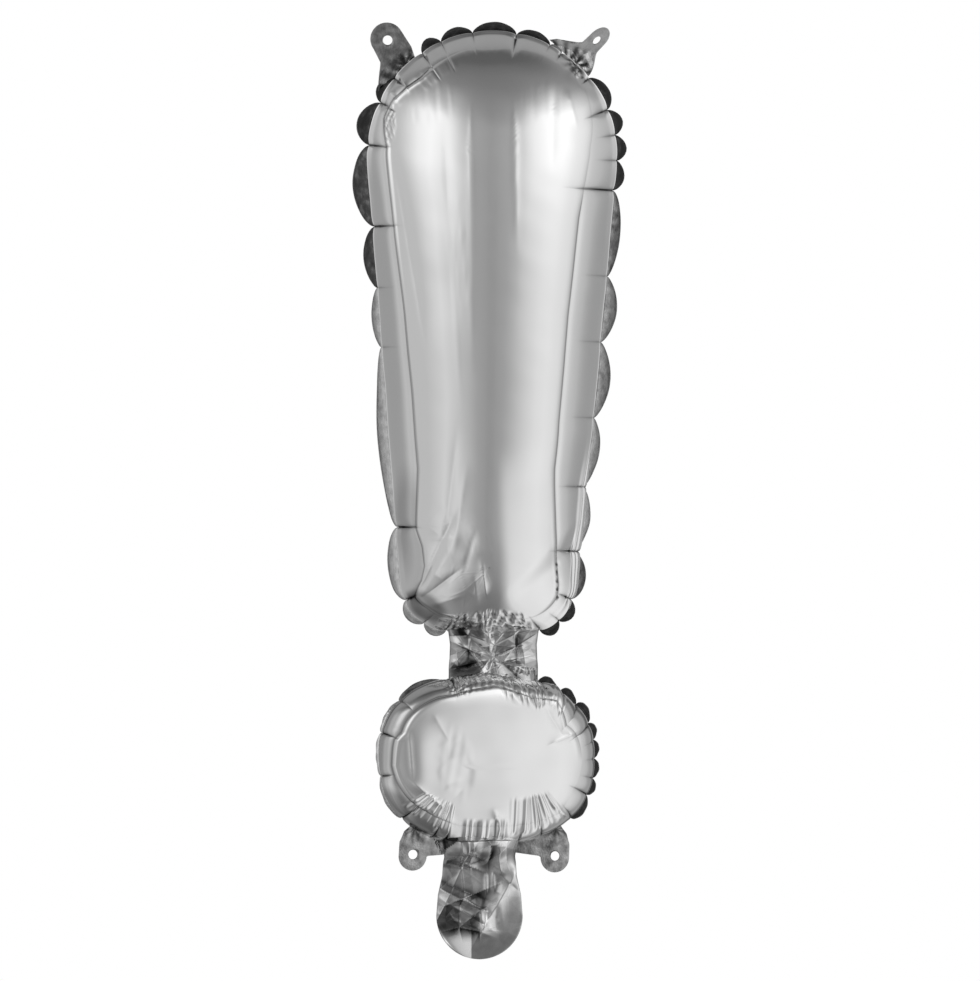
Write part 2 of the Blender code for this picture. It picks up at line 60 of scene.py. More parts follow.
# %% [markdown]
# ## From an array of points to a mesh
#
# Every piece here is a grid of points: one parameter runs along the seam or across the
# piece, the other from its edge to its middle. A grid could be made with a bpy operator
# and moved point by point, but numpy works out all points at once and hands the whole
# array to the mesh, which is both shorter to read and far faster.

# %% Grid to mesh


def grid_faces(rows, columns, wrap):
    """Quads between neighbouring rows and columns; wrap joins the last row to the first."""
    index = np.arange(rows * columns).reshape(rows, columns)
    if wrap:
        index = np.vstack([index, index[:1]])
    corners = [index[:-1, :-1], index[1:, :-1], index[1:, 1:], index[:-1, 1:]]
    return np.stack(corners, axis=-1).reshape(-1, 4)


def make_mesh(name, points, faces, material, values=None):
    """A smooth mesh object from points in millimetres, with named values at its points."""
    mesh = bpy.data.meshes.new(name)
    mesh.from_pydata((points.reshape(-1, 3) * MM).tolist(), [], faces)
    mesh.shade_smooth()
    for label, data in (values or {}).items():
        layer = mesh.attributes.new(label, "FLOAT", "POINT")
        layer.data.foreach_set("value", np.ascontiguousarray(data, dtype=np.float32).ravel())
    mesh.materials.append(material)
    piece = bpy.data.objects.new(name, mesh)
    bpy.context.collection.objects.link(piece)
    print(name, "has", len(faces), "faces")
    return piece


def unit(vectors):
    """Vectors divided by their own length, along the last axis."""
    return vectors / np.linalg.norm(vectors, axis=-1, keepdims=True)


def smooth_step(low, high, values):
    """0 below low, 1 above high, and an S-shaped curve 3t^2 - 2t^3 between them."""
    share = np.clip((values - low) / (high - low), 0, 1)
    return share * share * (3 - 2 * share)


def hump(values, middle, width):
    """The bell curve exp(-(distance / width)^2) about a middle."""
    return np.exp(-(((values - middle) / width) ** 2))


print("a grid of 3 by 4 points has", len(grid_faces(3, 4, wrap=False)), "faces")

# %% [markdown]
# ## Foil
#
# The film is polyester with a thin layer of aluminium: a mirror that is never quite flat.
# A plain metallic shader with low roughness gives the mirror. What makes it foil is that
# the roughness wanders a little and that fine ripples shake the reflections, so both
# come from noise on the object's own coordinates. The sealed edge is two films welded by
# a hot knurled tool, which leaves it duller and finely dimpled. Deep folds, crimps and
# creases are darkened with painted shade, since light bounces in them many times, and so
# are facets and scallops that mirror dark parts of the room. That painted shade, and on
# the sealed edge its dullness too, rides on the points as a value that darkens the colour.

# %% Node helpers


def add_node(tree, kind, links=None, **settings):
    """A node with its settings, and its inputs linked to sockets or set to numbers."""
    node = tree.nodes.new(kind)
    for label, value in settings.items():
        setattr(node, label, value)
    for socket, value in (links or {}).items():
        if isinstance(value, bpy.types.NodeSocket):
            tree.links.new(value, node.inputs[socket])
        else:
            node.inputs[socket].default_value = value
    return node


def add_math(tree, operation, first, second=0.0):
    """The result of one operation on two sockets or numbers."""
    return add_node(tree, "ShaderNodeMath", {0: first, 1: second}, operation=operation).outputs[0]


def add_ramp(tree, value, low, high, stops):
    """A grey ramp over low to high, with (value, brightness) stops."""
    spread = add_node(tree, "ShaderNodeMapRange", {"Value": value, "From Min": low, "From Max": high})
    ramp = add_node(tree, "ShaderNodeValToRGB", {"Fac": spread.outputs[0]})
    ramp.color_ramp.interpolation = "LINEAR"
    elements = ramp.color_ramp.elements
    spots = [((place - low) / (high - low), (level, level, level, 1)) for place, level in stops]
    for element, (place, colour) in zip(elements, (spots[0], spots[-1])):
        element.position = place
        element.color = colour
    for place, colour in spots[1:-1]:
        elements.new(place).color = colour
    return ramp.outputs[0]


# %% Foil materials
RIPPLE_PER_METRE = 90.0
GRAIN_PER_METRE = 1400.0
KNURL_PER_METRE = 1150.0
STAIN_PER_METRE = 300.0
NOISE_SPAN = (0.3, 0.7)
KNURL_HEIGHT = 0.12
KNURL_STRENGTH = 0.6
# Grey of the foil for the point value from 0 to 1: on the films that value is painted shade, on the sealed
# edge its dullness and painted shade together.
FILM_TONES = [(0.0, 0.93), (0.5, 0.42), (1.0, 0.03)]
SEALED_TONES = [(0.0, 0.88), (0.35, 0.55), (0.75, 0.13), (1.0, 0.05)]


def foil_shader(name, rough, ripple_height, grain_height, tones, mottling):
    """Mirror foil: noise moves roughness, height and, with a point value of painted shade and dullness, the
    tone.
    """
    material = bpy.data.materials.new(name)
    material.use_nodes = True
    tree = material.node_tree
    shader = tree.nodes["Principled BSDF"]
    shader.inputs["Metallic"].default_value = 1.0
    place = add_node(tree, "ShaderNodeTexCoord").outputs["Object"]
    ripple = add_node(tree, "ShaderNodeTexNoise", {
        "Vector": place, "Scale": RIPPLE_PER_METRE, "Detail": 3.0})
    grain = add_node(tree, "ShaderNodeTexNoise", {"Vector": place, "Scale": GRAIN_PER_METRE, "Detail": 2.0})
    roughness = add_node(tree, "ShaderNodeMapRange", {
        "Value": ripple.outputs["Fac"], "From Min": NOISE_SPAN[0], "From Max": NOISE_SPAN[1],
        "To Min": rough[0], "To Max": rough[1]})
    tree.links.new(roughness.outputs[0], shader.inputs["Roughness"])
    wide = add_node(tree, "ShaderNodeBump", {
        "Height": ripple.outputs["Fac"], "Strength": 1.0, "Distance": ripple_height * MM})
    fine = add_node(tree, "ShaderNodeBump", {
        "Height": grain.outputs["Fac"], "Strength": 1.0, "Distance": grain_height * MM,
        "Normal": wide.outputs["Normal"]})
    tree.links.new(fine.outputs["Normal"], shader.inputs["Normal"])
    # The point value darkens the colour: painted shade, and on the sealed edge also its dullness.
    dull_and_shade = add_node(tree, "ShaderNodeAttribute", attribute_name="dull_and_shade").outputs["Fac"]
    stain = add_node(tree, "ShaderNodeTexNoise", {"Vector": place, "Scale": STAIN_PER_METRE, "Detail": 4.0})
    mottle = add_math(tree, "MULTIPLY", add_math(tree, "SUBTRACT", stain.outputs["Fac"], 0.5), mottling)
    tone = add_ramp(tree, add_math(tree, "ADD", dull_and_shade, mottle), 0.0, 1.0, tones)
    tree.links.new(tone, shader.inputs["Base Color"])
    return material, tree, shader, place, fine


def sealed_shader(name):
    """Sealed edge: duller, mottled foil, dimpled by the tool, with painted shade in its tone."""
    material, tree, shader, place, fine = foil_shader(
        name, rough=(0.18, 0.30), ripple_height=0.03, grain_height=0.004, tones=SEALED_TONES, mottling=0.8)
    cells = add_node(tree, "ShaderNodeTexVoronoi", {"Vector": place, "Scale": KNURL_PER_METRE})
    knurl = add_node(tree, "ShaderNodeBump", {
        "Height": cells.outputs["Distance"], "Strength": KNURL_STRENGTH, "Distance": KNURL_HEIGHT * MM,
        "Normal": fine.outputs["Normal"]})
    tree.links.new(knurl.outputs["Normal"], shader.inputs["Normal"])
    return material


SILVER = foil_shader("silver foil", rough=(0.07, 0.13), ripple_height=0.02, grain_height=0.0015,
                     tones=FILM_TONES, mottling=0.0)[0]
CRUMPLED = foil_shader("crumpled foil", rough=(0.07, 0.15), ripple_height=0.03, grain_height=0.003,
                       tones=FILM_TONES, mottling=0.25)[0]
SEALED = sealed_shader("sealed foil edge")
print("materials:", SILVER.name, CRUMPLED.name, SEALED.name)

# %% [markdown]
# ## Two outlines
#
# The seam of the bar is a tapered shape with round corners, so it is four arcs joined by
# straight runs. The dot is a superellipse, flatter above than below. Both could be traced
# as long lists of points, but a few sizes say the same and can be changed. The dot hangs
# turned a little to the right, which is why its left band shows and its right one hides.

# %% Seam outlines, in millimetres
BAR_TOP = 4.2
BAR_BOTTOM = -251.0
BAR_LEFT = (-57.4, -37.4)
BAR_RIGHT = (58.2, 34.6)
BAR_TOP_RADIUS = 53.0
BAR_BOTTOM_RADIUS = 23.0
DOT_X = -1.8
DOT_Z = -307.3
DOT_TURN = math.radians(18)
DOT_HALF_WIDTH = 47.9
DOT_HALF_HEIGHT = 34.6
DOT_ROUNDNESS = (2.9, 2.15)
DOT_SAMPLES = 1440
OUTLINE_STEP = 0.25


def arc(centre, radius, start_degrees, end_degrees, count=90):
    """Points centre + radius (cos a, sin a) between two angles."""
    angles = np.radians(np.linspace(start_degrees, end_degrees, count))
    return np.column_stack([centre[0] + radius * np.cos(angles), centre[1] + radius * np.sin(angles)])


def lengths_along(line):
    """Distance of each point of a line from its start, measured along it."""
    return np.concatenate([[0], np.cumsum(np.hypot(*np.diff(line, axis=0).T))])


def evenly_spaced(curve, step):
    """The same closed curve with a point at every step."""
    closed = np.vstack([curve, curve[:1]])
    lengths = lengths_along(closed)
    at = np.linspace(0, lengths[-1], round(lengths[-1] / step), endpoint=False)
    return np.column_stack([np.interp(at, lengths, closed[:, axis]) for axis in range(2)])


def bar_outline():
    """Clockwise from the top: each corner is an arc that touches a level edge and a leaning side."""
    height = BAR_TOP - BAR_BOTTOM
    leans = {-1: math.atan2(BAR_LEFT[1] - BAR_LEFT[0], height),
             1: math.atan2(BAR_RIGHT[0] - BAR_RIGHT[1], height)}
    corners = []
    for side, end in ((1, 1), (1, -1), (-1, -1), (-1, 1)):
        radius = BAR_TOP_RADIUS if end > 0 else BAR_BOTTOM_RADIUS
        edge = BAR_TOP if end > 0 else BAR_BOTTOM
        x_side = (BAR_RIGHT if side > 0 else BAR_LEFT)[0 if end > 0 else 1]
        inset = (radius + end * math.sin(leans[side]) * radius) / math.cos(leans[side])
        lean = math.degrees(leans[side])
        level, slanted = end * 90, (-lean if side > 0 else 180 + lean)
        if (side, end) == (-1, -1):
            slanted = -180 + lean
        angles = (level, slanted) if side == end else (slanted, level)
        corners.append(arc((x_side - side * inset, edge - end * radius), radius, *angles))
    return evenly_spaced(np.vstack(corners), OUTLINE_STEP)


def dot_outline():
    """Clockwise from the left: |x|^p + |z|^p = 1, with one power above and one below."""
    angles = np.linspace(-math.pi / 2, 1.5 * math.pi, DOT_SAMPLES, endpoint=False)
    across, upward = np.sin(angles), np.cos(angles)
    power = np.where(upward > 0, *DOT_ROUNDNESS)
    reach = (np.abs(across) ** power + np.abs(upward) ** power) ** (-1 / power)
    return evenly_spaced(np.column_stack([
        DOT_X + DOT_HALF_WIDTH * across * reach, DOT_Z + DOT_HALF_HEIGHT * upward * reach]), OUTLINE_STEP)


print("points on the two outlines:", len(bar_outline()), "and", len(dot_outline()))

# %% [markdown]
# ## The seam, its crimps and the columns of film
#
# A crimp is where the edge gives up length: the film folds sharply there, and the next
# scallop begins. The folds are placed one by one, because in real foil they fall as they
# like. A column of the film's grid starts at each of many places along the seam, crowded
# beside every crimp, where the shape turns fast.
#
# Each crimp has its place x and z, how far the scallop after it stands out, how dark that
# scallop is painted (0 bright, 1 dark: its dullness and painted shade, as it mirrors dark
# parts of the room), how deep the crimp is and how far it reaches in across the edge band.
# Where a tab, the neck or the tail leaves the seam, there is a crimp on either side, and
# the scallop after it has its own width and painted darkness.

# %% Crimps
BAR_CRIMPS = [
    (-22.1, 0.2, 3.6, 1.0, 0.7, 0.5), (-8.3, 2.6, 3.8, 1.0, 0.8, 0.4), (10.5, 2.6, 2.8, 1.0, 1.4, 1.6),
    (25.3, -0.6, 1.0, 0.5, 0.6, 0.4), (52.5, -28.0, 4.0, 1.0, 1.4, 1.2),
    (54.4, -39.7, 3.8, 1.0, 0.7, 0.3), (54.4, -51.0, 3.2, 1.0, 0.6, 0.3),
    (52.6, -63.9, 3.8, 0.6, 1.5, 1.5), (49.0, -100.0, 5.4, 0.45, 0.4, 0.2),
    (46.5, -128.0, 5.2, 0.45, 0.4, 0.2), (42.4, -160.0, 4.0, 0.3, 0.4, 0.2),
    (39.7, -189.3, 3.8, 0.1, 0.8, 0.5), (37.0, -216.8, 4.6, 0.6, 1.4, 1.2),
    (34.6, -237.5, 3.2, 1.0, 1.4, 1.0), (28.6, -246.5, 3.4, 1.0, 0.6, 0.5),
    (-28.4, -246.3, 3.0, 0.15, 0.8, 0.6), (-35.6, -236.8, 4.4, 0.1, 1.5, 1.4),
    (-38.6, -206.3, 4.4, 0.15, 1.5, 1.3), (-46.2, -130.0, 3.0, 0.25, 0.4, 0.2),
    (-49.2, -105.0, 4.4, 0.8, 0.4, 0.2), (-51.6, -79.2, 6.6, 0.75, 1.5, 1.3),
    (-54.0, -44.4, 6.0, 0.95, 1.5, 1.3), (-52.2, -24.0, 3.6, 1.0, 1.5, 1.2),
]
DOT_CRIMPS = [
    (-41.4, -279.0, 1.6, 0.6, 0.6, 0.8), (-47.9, -293.0, 0.5, 0.15, 1.2, 1.1),
    (-49.7, -311.0, 0.5, 0.15, 0.9, 0.9), (43.2, -321.0, 4.0, 1.0, 1.2, 1.1),
    (45.9, -313.5, 3.8, 1.0, 0.7, 0.5), (46.8, -305.0, 3.8, 1.0, 0.6, 0.4),
    (45.7, -297.0, 3.8, 1.0, 0.6, 0.4), (43.2, -290.0, 3.8, 1.0, 1.2, 1.2),
    (37.9, -282.0, 3.8, 1.0, 0.8, 0.6), (30.6, -276.5, 3.8, 1.0, 1.0, 0.8),
]
TAB_ROOTS = {"top_left": (-37.8, -8.6), "top_right": (37.6, -8.0),
             "bottom_left": (-34.0, -334.0), "bottom_right": (29.1, -335.4)}
TAB_BREAK = 8.0
# Width and darkness of the scallop after each break: its dullness and painted shade together.
BREAK_SCALLOPS = {
    "top_left": (3.8, 1.0), "top_right": (3.6, 1.0), "bottom_left": (0.6, 0.3), "bottom_right": (3.0, 1.0),
    "bar_neck": (2.6, 0.2), "dot_neck": (3.6, 1.0), "tail": (1.0, 0.5)}
NECK_X = 0.3
NECK_HALF = 20.0
TAIL_X = -5.4
THROAT_HALF = 16.4
BREAK_CRIMP = (1.0, 0.9)
CROWDING = 0.8
print("crimps placed by hand:", len(BAR_CRIMPS), "and", len(DOT_CRIMPS))

# %% [markdown]
# ## A seam in columns
#
# Everything at the edge asks the same things of the seam: where a place on it lies, which
# way is out, and how far off the next crimp is. So each seam is worked out once, as an
# object with those answers. Plain lists would have to be handed to every function.

# %% Seam


class Seam:
    """A closed seam sampled in columns, from the start of its spine round clockwise.

    Columns between two crimps lie at t - c sin(2 pi t) / (2 pi) of the way, which crowds
    them beside the crimps. Both halves of the loop get the same number of columns, so
    that the film can be closed along its spine.
    """

    def __init__(self, outline, crimps, breaks, spine, column_count, middle_x=0.0, turn=0.0):
        self.middle_x, self.turn = middle_x, turn
        spine = np.array(spine, float)
        first = np.argmin(outline @ (spine[1] - spine[0]))
        self.curve = np.vstack([np.roll(outline, -first, axis=0), outline[first]])
        self.lengths = lengths_along(self.curve)
        self.perimeter = self.lengths[-1]
        self.break_at = {name: self.length_at(spot) for name, (spot, _) in breaks.items()}
        self.break_half = {name: half for name, (_, half) in breaks.items()}
        folds = [(self.length_at(row[:2]), *row[2:]) for row in crimps]
        for name, middle in self.break_at.items():
            scallop = BREAK_SCALLOPS[name]
            for side in (-1, 1):
                at = (middle + side * self.break_half[name]) % self.perimeter
                folds.append((at, *scallop, *BREAK_CRIMP))
        self.folds = np.array(sorted(folds))
        self.at = np.concatenate([self.half_columns(half, column_count // 2) for half in (0, 1)])
        self.point = self.place(self.at)
        self.out = self.outward(self.at)
        along = spine[1] - spine[0]
        share = np.clip(((self.point - spine[0]) @ along) / (along @ along), 0, 1)
        self.spine = spine[0] + share[:, None] * along
        self.reach = np.hypot(*(self.spine - self.point).T)
        self.inward = (self.spine - self.point) / self.reach[:, None]

    def half_columns(self, half, count):
        """Places of the columns on one half of the loop, shared out by length."""
        low, high = half * self.perimeter / 2, (half + 1) * self.perimeter / 2
        inside = [at for at in self.folds[:, 0] if low < at < high]
        ends = np.array([low, *inside, high])
        wanted = np.diff(ends) / (high - low) * count
        numbers = np.floor(wanted).astype(int)
        numbers[np.argsort(numbers - wanted)[:count - numbers.sum()]] += 1
        columns = []
        for start, end, number in zip(ends, ends[1:], numbers):
            share = np.arange(number) / max(number, 1)
            share = share - CROWDING * np.sin(2 * math.pi * share) / (2 * math.pi)
            columns.append(start + (end - start) * share)
        return np.concatenate(columns)

    def length_at(self, spot):
        """How far along the seam the point nearest to a spot lies."""
        return self.lengths[np.argmin(np.hypot(*(self.curve - np.array(spot)).T))]

    def place(self, at):
        """The points at some lengths along the seam."""
        at = np.asarray(at) % self.perimeter
        return np.column_stack([np.interp(at, self.lengths, self.curve[:, axis]) for axis in range(2)])

    def outward(self, at):
        """The way out of the shape: the way along the seam, turned left."""
        ahead = unit(self.place(np.asarray(at) + 1) - self.place(np.asarray(at) - 1))
        return np.column_stack([-ahead[:, 1], ahead[:, 0]])

    def away_from(self, at):
        """Signed distance along the seam from a place, the short way round."""
        half = self.perimeter / 2
        return (self.at - at + half) % self.perimeter - half

    def in_space(self, points, share=1.0):
        """Points turned about the upright line through the middle, by a share of the turn."""
        across, back = points[..., 0] - self.middle_x, points[..., 1]
        cosine, sine = np.cos(self.turn * share), np.sin(self.turn * share)
        return np.stack([self.middle_x + across * cosine - back * sine,
                         across * sine + back * cosine, points[..., 2]], axis=-1)

    def table(self, rows):
        """Distance from the seam and values of some spots (x, z, value...), at every column."""
        rows = np.array(rows, float)
        apart = np.linalg.norm(rows[:, None, :2] - self.curve[None], axis=-1)
        places = self.lengths[apart.argmin(axis=1)]
        values = np.column_stack([apart.min(axis=1), rows[:, 2:]])
        order = np.argsort(places)
        return [np.interp(self.at, places[order], column, period=self.perimeter)
                for column in values[order].T]


def tab_breaks(names):
    """Where tabs leave the seam, and half the width that each takes."""
    return {name: (TAB_ROOTS[name], TAB_BREAK) for name in names}


BAR_SPINE = ((0.4, -52.0), (-1.4, -222.0))
DOT_SPINE = ((-17.0, DOT_Z), (13.0, DOT_Z))
BAR_COLUMNS = 820
DOT_COLUMNS = 600
bar_breaks = {
    **tab_breaks(["top_left", "top_right"]),
    "bar_neck": ((NECK_X, BAR_BOTTOM), NECK_HALF)}
dot_breaks = {
    **tab_breaks(["bottom_left", "bottom_right"]),
    "dot_neck": ((NECK_X, DOT_Z + DOT_HALF_HEIGHT), NECK_HALF),
    "tail": ((TAIL_X, DOT_Z - DOT_HALF_HEIGHT), THROAT_HALF)}
bar = Seam(bar_outline(), BAR_CRIMPS, bar_breaks, BAR_SPINE, BAR_COLUMNS)
dot = Seam(dot_outline(), DOT_CRIMPS, dot_breaks, DOT_SPINE, DOT_COLUMNS, DOT_X, DOT_TURN)
print("bar seam", round(bar.perimeter), "mm with", len(bar.folds), "crimps")
print("dot seam", round(dot.perimeter), "mm with", len(dot.folds), "crimps")

# %% [markdown]
# ## Blowing up the film
#
# Air pushes the film out evenly, and the seam holds its edge. A soap film under that load
# has the height h that solves laplace(h) = -1 with h = 0 on the seam. Foil is fuller near
# its edge than a soap film, and C sqrt(h) would be half an ellipse. The two films of a
# balloon meet at an angle, though, so the depth is C ((h + e^2)^p - e^2p), where e sets
# that angle. The power p is a half on the bar and less on the flatter dot. A cloth
# simulation could blow up the film too, but it would leave its own grid in the mirror,
# where this height has none.
#
# The height is -(x^2 + z^2) / 4, which gives the load, plus the logarithm of the distance
# to some points just outside the seam. Their weights are fitted so that h is 0 on it.

# %% The blown-up height
SOURCE_COUNT = 170
SOURCE_OFFSET = 15.0
TESTS_A_SOURCE = 4
FIT_CUTOFF = 1e-10


class BlownHeight:
    """h = sum of w log(distance to source) - (x^2 + z^2) / 4, and its slope."""

    def __init__(self, seam):
        at = np.linspace(0, seam.perimeter, SOURCE_COUNT, endpoint=False)
        self.centre = seam.place(at).mean(axis=0)
        self.sources = seam.place(at) + seam.outward(at) * SOURCE_OFFSET - self.centre
        test_at = np.linspace(0, seam.perimeter, TESTS_A_SOURCE * SOURCE_COUNT, endpoint=False)
        tests = seam.place(test_at) - self.centre
        logs = np.log(np.hypot(*(tests[:, None] - self.sources[None]).transpose(2, 0, 1)))
        self.weights = np.linalg.lstsq(logs, (tests ** 2).sum(axis=1) / 4, rcond=FIT_CUTOFF)[0]

    def __call__(self, flat):
        """Height and slope at an array of (x, z) points."""
        shape = flat.shape[:-1]
        spots = flat.reshape(-1, 2) - self.centre
        height = -(spots ** 2).sum(axis=1) / 4
        slope = -spots / 2
        for source, weight in zip(self.sources, self.weights):
            apart = spots - source
            square = (apart ** 2).sum(axis=1)
            height += weight * 0.5 * np.log(square)
            slope += weight * apart / square[:, None]
        return height.reshape(shape), slope.reshape(*shape, 2)


bar_height = BlownHeight(bar)
dot_height = BlownHeight(dot)
print("bar's height in the middle", round(float(bar_height(np.array([[0.0, -100.0]]))[0][0]), 1))

# %% [markdown]
# ## One film of a chamber
#
# Along each column the film leaves the seam, rises over the rolled edge band, dips in the
# crease inside it and goes over the main bulge to the spine. Rings of the grid crowd
# beside the crease, and one ring lies exactly in it, so that it stays sharp.

# %% Rings, crease and crimps
BAND_RINGS = 34
BULGE_RINGS = 56
SPINE_GAP = 0.03
BAND_CROWDING = 1.4
BULGE_CROWDING = 1.35
BAND_FLATTEN = 0.35
BAND_START = 0.3
CREASE_REACH = (2.4, 0.9)
# The next two set the width and the strength of the painted shade in the crease.
CREASE_SHARP = 0.45
CREASE_SHADE = 0.5
RIDGE_AT = 1.9
CRIMP_SHARP = 0.4
CRIMP_WIDE = 2.6
CRIMP_SHARES = (0.7, 0.35)
CRIMP_FADE = (0.35, 0.85)
CRIMP_NEAR = 25.0
# Most painted shade in a crimp's V.
CRIMP_DARKEST = 1.1
SEAM_FIT = 3.0
NORMAL_TURN = 2.5


def film_rings(seam, band):
    """How far in from the seam each ring lies: R (1 - cos a), with a ring in the crease."""
    crease = np.arccos(1 - band / seam.reach)
    last = math.acos(SPINE_GAP)
    share_band = 1 - (1 - np.arange(BAND_RINGS) / BAND_RINGS) ** BAND_CROWDING
    share_bulge = (np.arange(BULGE_RINGS + 1) / BULGE_RINGS) ** BULGE_CROWDING
    on_band = crease[:, None] * share_band
    on_bulge = crease[:, None] + (last - crease[:, None]) * share_bulge
    angles = np.concatenate([on_band, on_bulge], axis=1)
    return seam.reach[:, None] * (1 - np.cos(angles)), angles / crease[:, None]


def crease_lift(past, depth, ridge):
    """A cusp exp(-distance) that is steep on the bulge's side, with a ridge just inside it."""
    reach = np.where(past < 0, *CREASE_REACH)
    return -depth * np.exp(-np.abs(past) / reach) + ridge * hump(past, RIDGE_AT, 1.0)


def crimp_lift(seam, band_share):
    """At each fold a sharp V and a wide dip, which fade in across the band, and painted shade in the V."""
    lift, dull_and_shade = np.zeros_like(band_share), np.zeros_like(band_share)
    for at, _, _, depth, reach in seam.folds:
        away = seam.away_from(at)
        near = np.abs(away) < CRIMP_NEAR
        start = CRIMP_FADE[0] * reach
        fade = 1 - smooth_step(start, start + CRIMP_FADE[1], band_share[near])
        sharp = np.exp(-np.abs(away[near]) / CRIMP_SHARP)[:, None] * fade
        wide = hump(away[near], 0, CRIMP_WIDE)[:, None] * fade
        lift[near] -= depth * (CRIMP_SHARES[0] * sharp + CRIMP_SHARES[1] * wide)
        # Painted shade along the crimp's V, as deep crimps would be shaded.
        dull_and_shade[near] = np.maximum(dull_and_shade[near], min(depth, CRIMP_DARKEST) * sharp)
    return lift, dull_and_shade


print("rings of a film:", BAND_RINGS + BULGE_RINGS + 1)

# %% [markdown]
# ## From depth to film
#
# The blown depth alone is a smooth pillow. All lifts are added up first and then moved
# along the film's own normal, because a fold stands square to the film. Near the seam that
# normal turns outwards, so that the rolled edge stays round.

# %% One film


def blown_film(seam, height_of, fullness, band_rows, side, marks):
    """Seam point + inward travel, at depth C ((h + e^2)^p - e^2p), then lifted along the normal."""
    band, crease_depth, ridge, flatten = seam.table(band_rows)
    travel, band_share = film_rings(seam, band)
    flat = seam.point[:, None] + seam.inward[:, None] * travel[..., None]
    height, slope = height_of(flat)
    height = height - height[:, :1] * np.exp(-travel / SEAM_FIT)
    height[:, 0] = 0
    scale, edge, power = fullness(flat[..., 1])
    raised = np.maximum(height, 0) + edge ** 2
    depth = scale * (raised ** power - edge ** (2 * power))
    base = np.stack([flat[..., 0], side * depth, flat[..., 1]], axis=-1)
    steep = scale[..., None] * power * raised[..., None] ** (power - 1) * slope
    normal = unit(np.stack([-steep[..., 0], np.full_like(depth, side), -steep[..., 1]], axis=-1))
    outward = np.stack([seam.out[:, 0], np.zeros(len(base)), seam.out[:, 1]], axis=-1)
    inside = smooth_step(0, NORMAL_TURN, travel)[..., None]
    normal = unit(outward[:, None] * (1 - inside) + normal * inside)
    steps = np.linalg.norm(np.diff(base, axis=1), axis=-1)
    along = np.concatenate([np.zeros((len(base), 1)), np.cumsum(steps, axis=1)], axis=1)
    past = along - along[:, BAND_RINGS:BAND_RINGS + 1]
    lift = -flatten[:, None] * np.sin(math.pi * np.clip(band_share, 0, 1)) * BAND_FLATTEN
    lift += crease_lift(past, crease_depth[:, None], ridge[:, None]) * (1 - hump(band_share, 0, BAND_START))
    crimps, dull_and_shade = crimp_lift(seam, band_share)
    seen = seam.in_space(base)[..., [0, 2]]
    drawn, drawn_painted_shade = marks(seam, seen, past)
    lift += crimps + drawn
    # Painted shade: in the crease, by its depth, plus that of the crimps and of the marks.
    dull_and_shade = dull_and_shade + drawn_painted_shade + CREASE_SHADE * crease_depth[:, None] * np.exp(-np.abs(past) / CREASE_SHARP)
    return base + normal * lift[..., None], np.clip(dull_and_shade, 0, 1)


print("points in a film of the bar:", bar.at.size * (BAND_RINGS + BULGE_RINGS + 1))

# %% [markdown]
# ## Closing the film
#
# The last ring of a film lies close along its spine, a thin slit. Faces that join its
# points straight across close it. A single fan of triangles would pinch the film there.

# %% Closing a grid


def zip_closed(ring):
    """Faces that close a ring of points by joining opposite ones, row after row."""
    half = len(ring) // 2
    right = np.arange(1, half - 1)
    left = len(ring) - right
    quads = np.column_stack([ring[right], ring[right + 1], ring[left - 1], ring[left]])
    return [[ring[0], ring[1], ring[-1]], *quads.tolist(), [ring[half - 1], ring[half], ring[half + 1]]]


def looking_out(points, faces, inside):
    """The faces, all turned round if they mostly look towards a point inside."""
    corners = points.reshape(-1, 3)[faces[:, :3]]
    normals = np.cross(corners[:, 1] - corners[:, 0], corners[:, 2] - corners[:, 1])
    return ((corners[:, 0] - np.array(inside)) * normals).sum() > 0


def closed_piece(name, points, inside, material, values=None, open_start=True):
    """A grid that wraps round, with its last ring zipped shut, and its first one too if asked."""
    columns, rings = points.shape[:2]
    quads = grid_faces(columns, rings, wrap=True)
    outward = looking_out(points, quads, inside)
    first = np.arange(columns) * rings
    faces = quads.tolist() + zip_closed(first + rings - 1)
    if not open_start:
        faces += zip_closed(np.roll(first[::-1], 1))
    return make_mesh(name, points, faces if outward else [face[::-1] for face in faces], material, values)


print("a ring of 8 points closes with", len(zip_closed(np.arange(8))), "faces")

# %% [markdown]
# ## What the air leaves in the film
#
# On top of the blown shape lie the marks of the real film: long soft folds, fans of small
# pleats where the edge turns sharply, and patches of crinkles. Each is a small height that
# depends on the place on the flat film. They could be painted as bumps in the material,
# but a mirror gives that away at the edges, so all but the finest are real shape.

# %% Waves, patches and folds
FOLD_FADE = (0.3, 0.6)
HINGE_FADE = (0.2, 0.15)


def waves(flat, wavelength, height, seed, count=5):
    """A sum of sine waves in many directions, with lengths about the one given."""
    draw = np.random.default_rng(seed)
    total = np.zeros(flat.shape[:-1])
    for angle, stretch, phase in draw.uniform((0, 0.7, 0), (math.pi, 1.5, 2 * math.pi), (count, 3)):
        way = np.array([math.cos(angle), math.sin(angle)])
        total += np.sin(2 * math.pi * (flat @ way) / (wavelength * stretch) + phase)
    return height * total / math.sqrt(count)


def patch(flat, middle, size, turn=0.0):
    """1 inside an ellipse, falling smoothly to 0 at its edge."""
    apart = flat - np.array(middle)
    across = apart @ np.array([math.cos(turn), math.sin(turn)]) / size[0]
    upward = apart @ np.array([-math.sin(turn), math.cos(turn)]) / size[1]
    return 1 - smooth_step(0.55, 1.0, np.hypot(across, upward))


def beside_line(flat, start, end):
    """Share of the way along a line, and signed distance from it."""
    start, end = np.array(start, float), np.array(end, float)
    run = np.hypot(*(end - start))
    way = (end - start) / run
    return (flat - start) @ way / run, (flat - start) @ np.array([-way[1], way[0]])


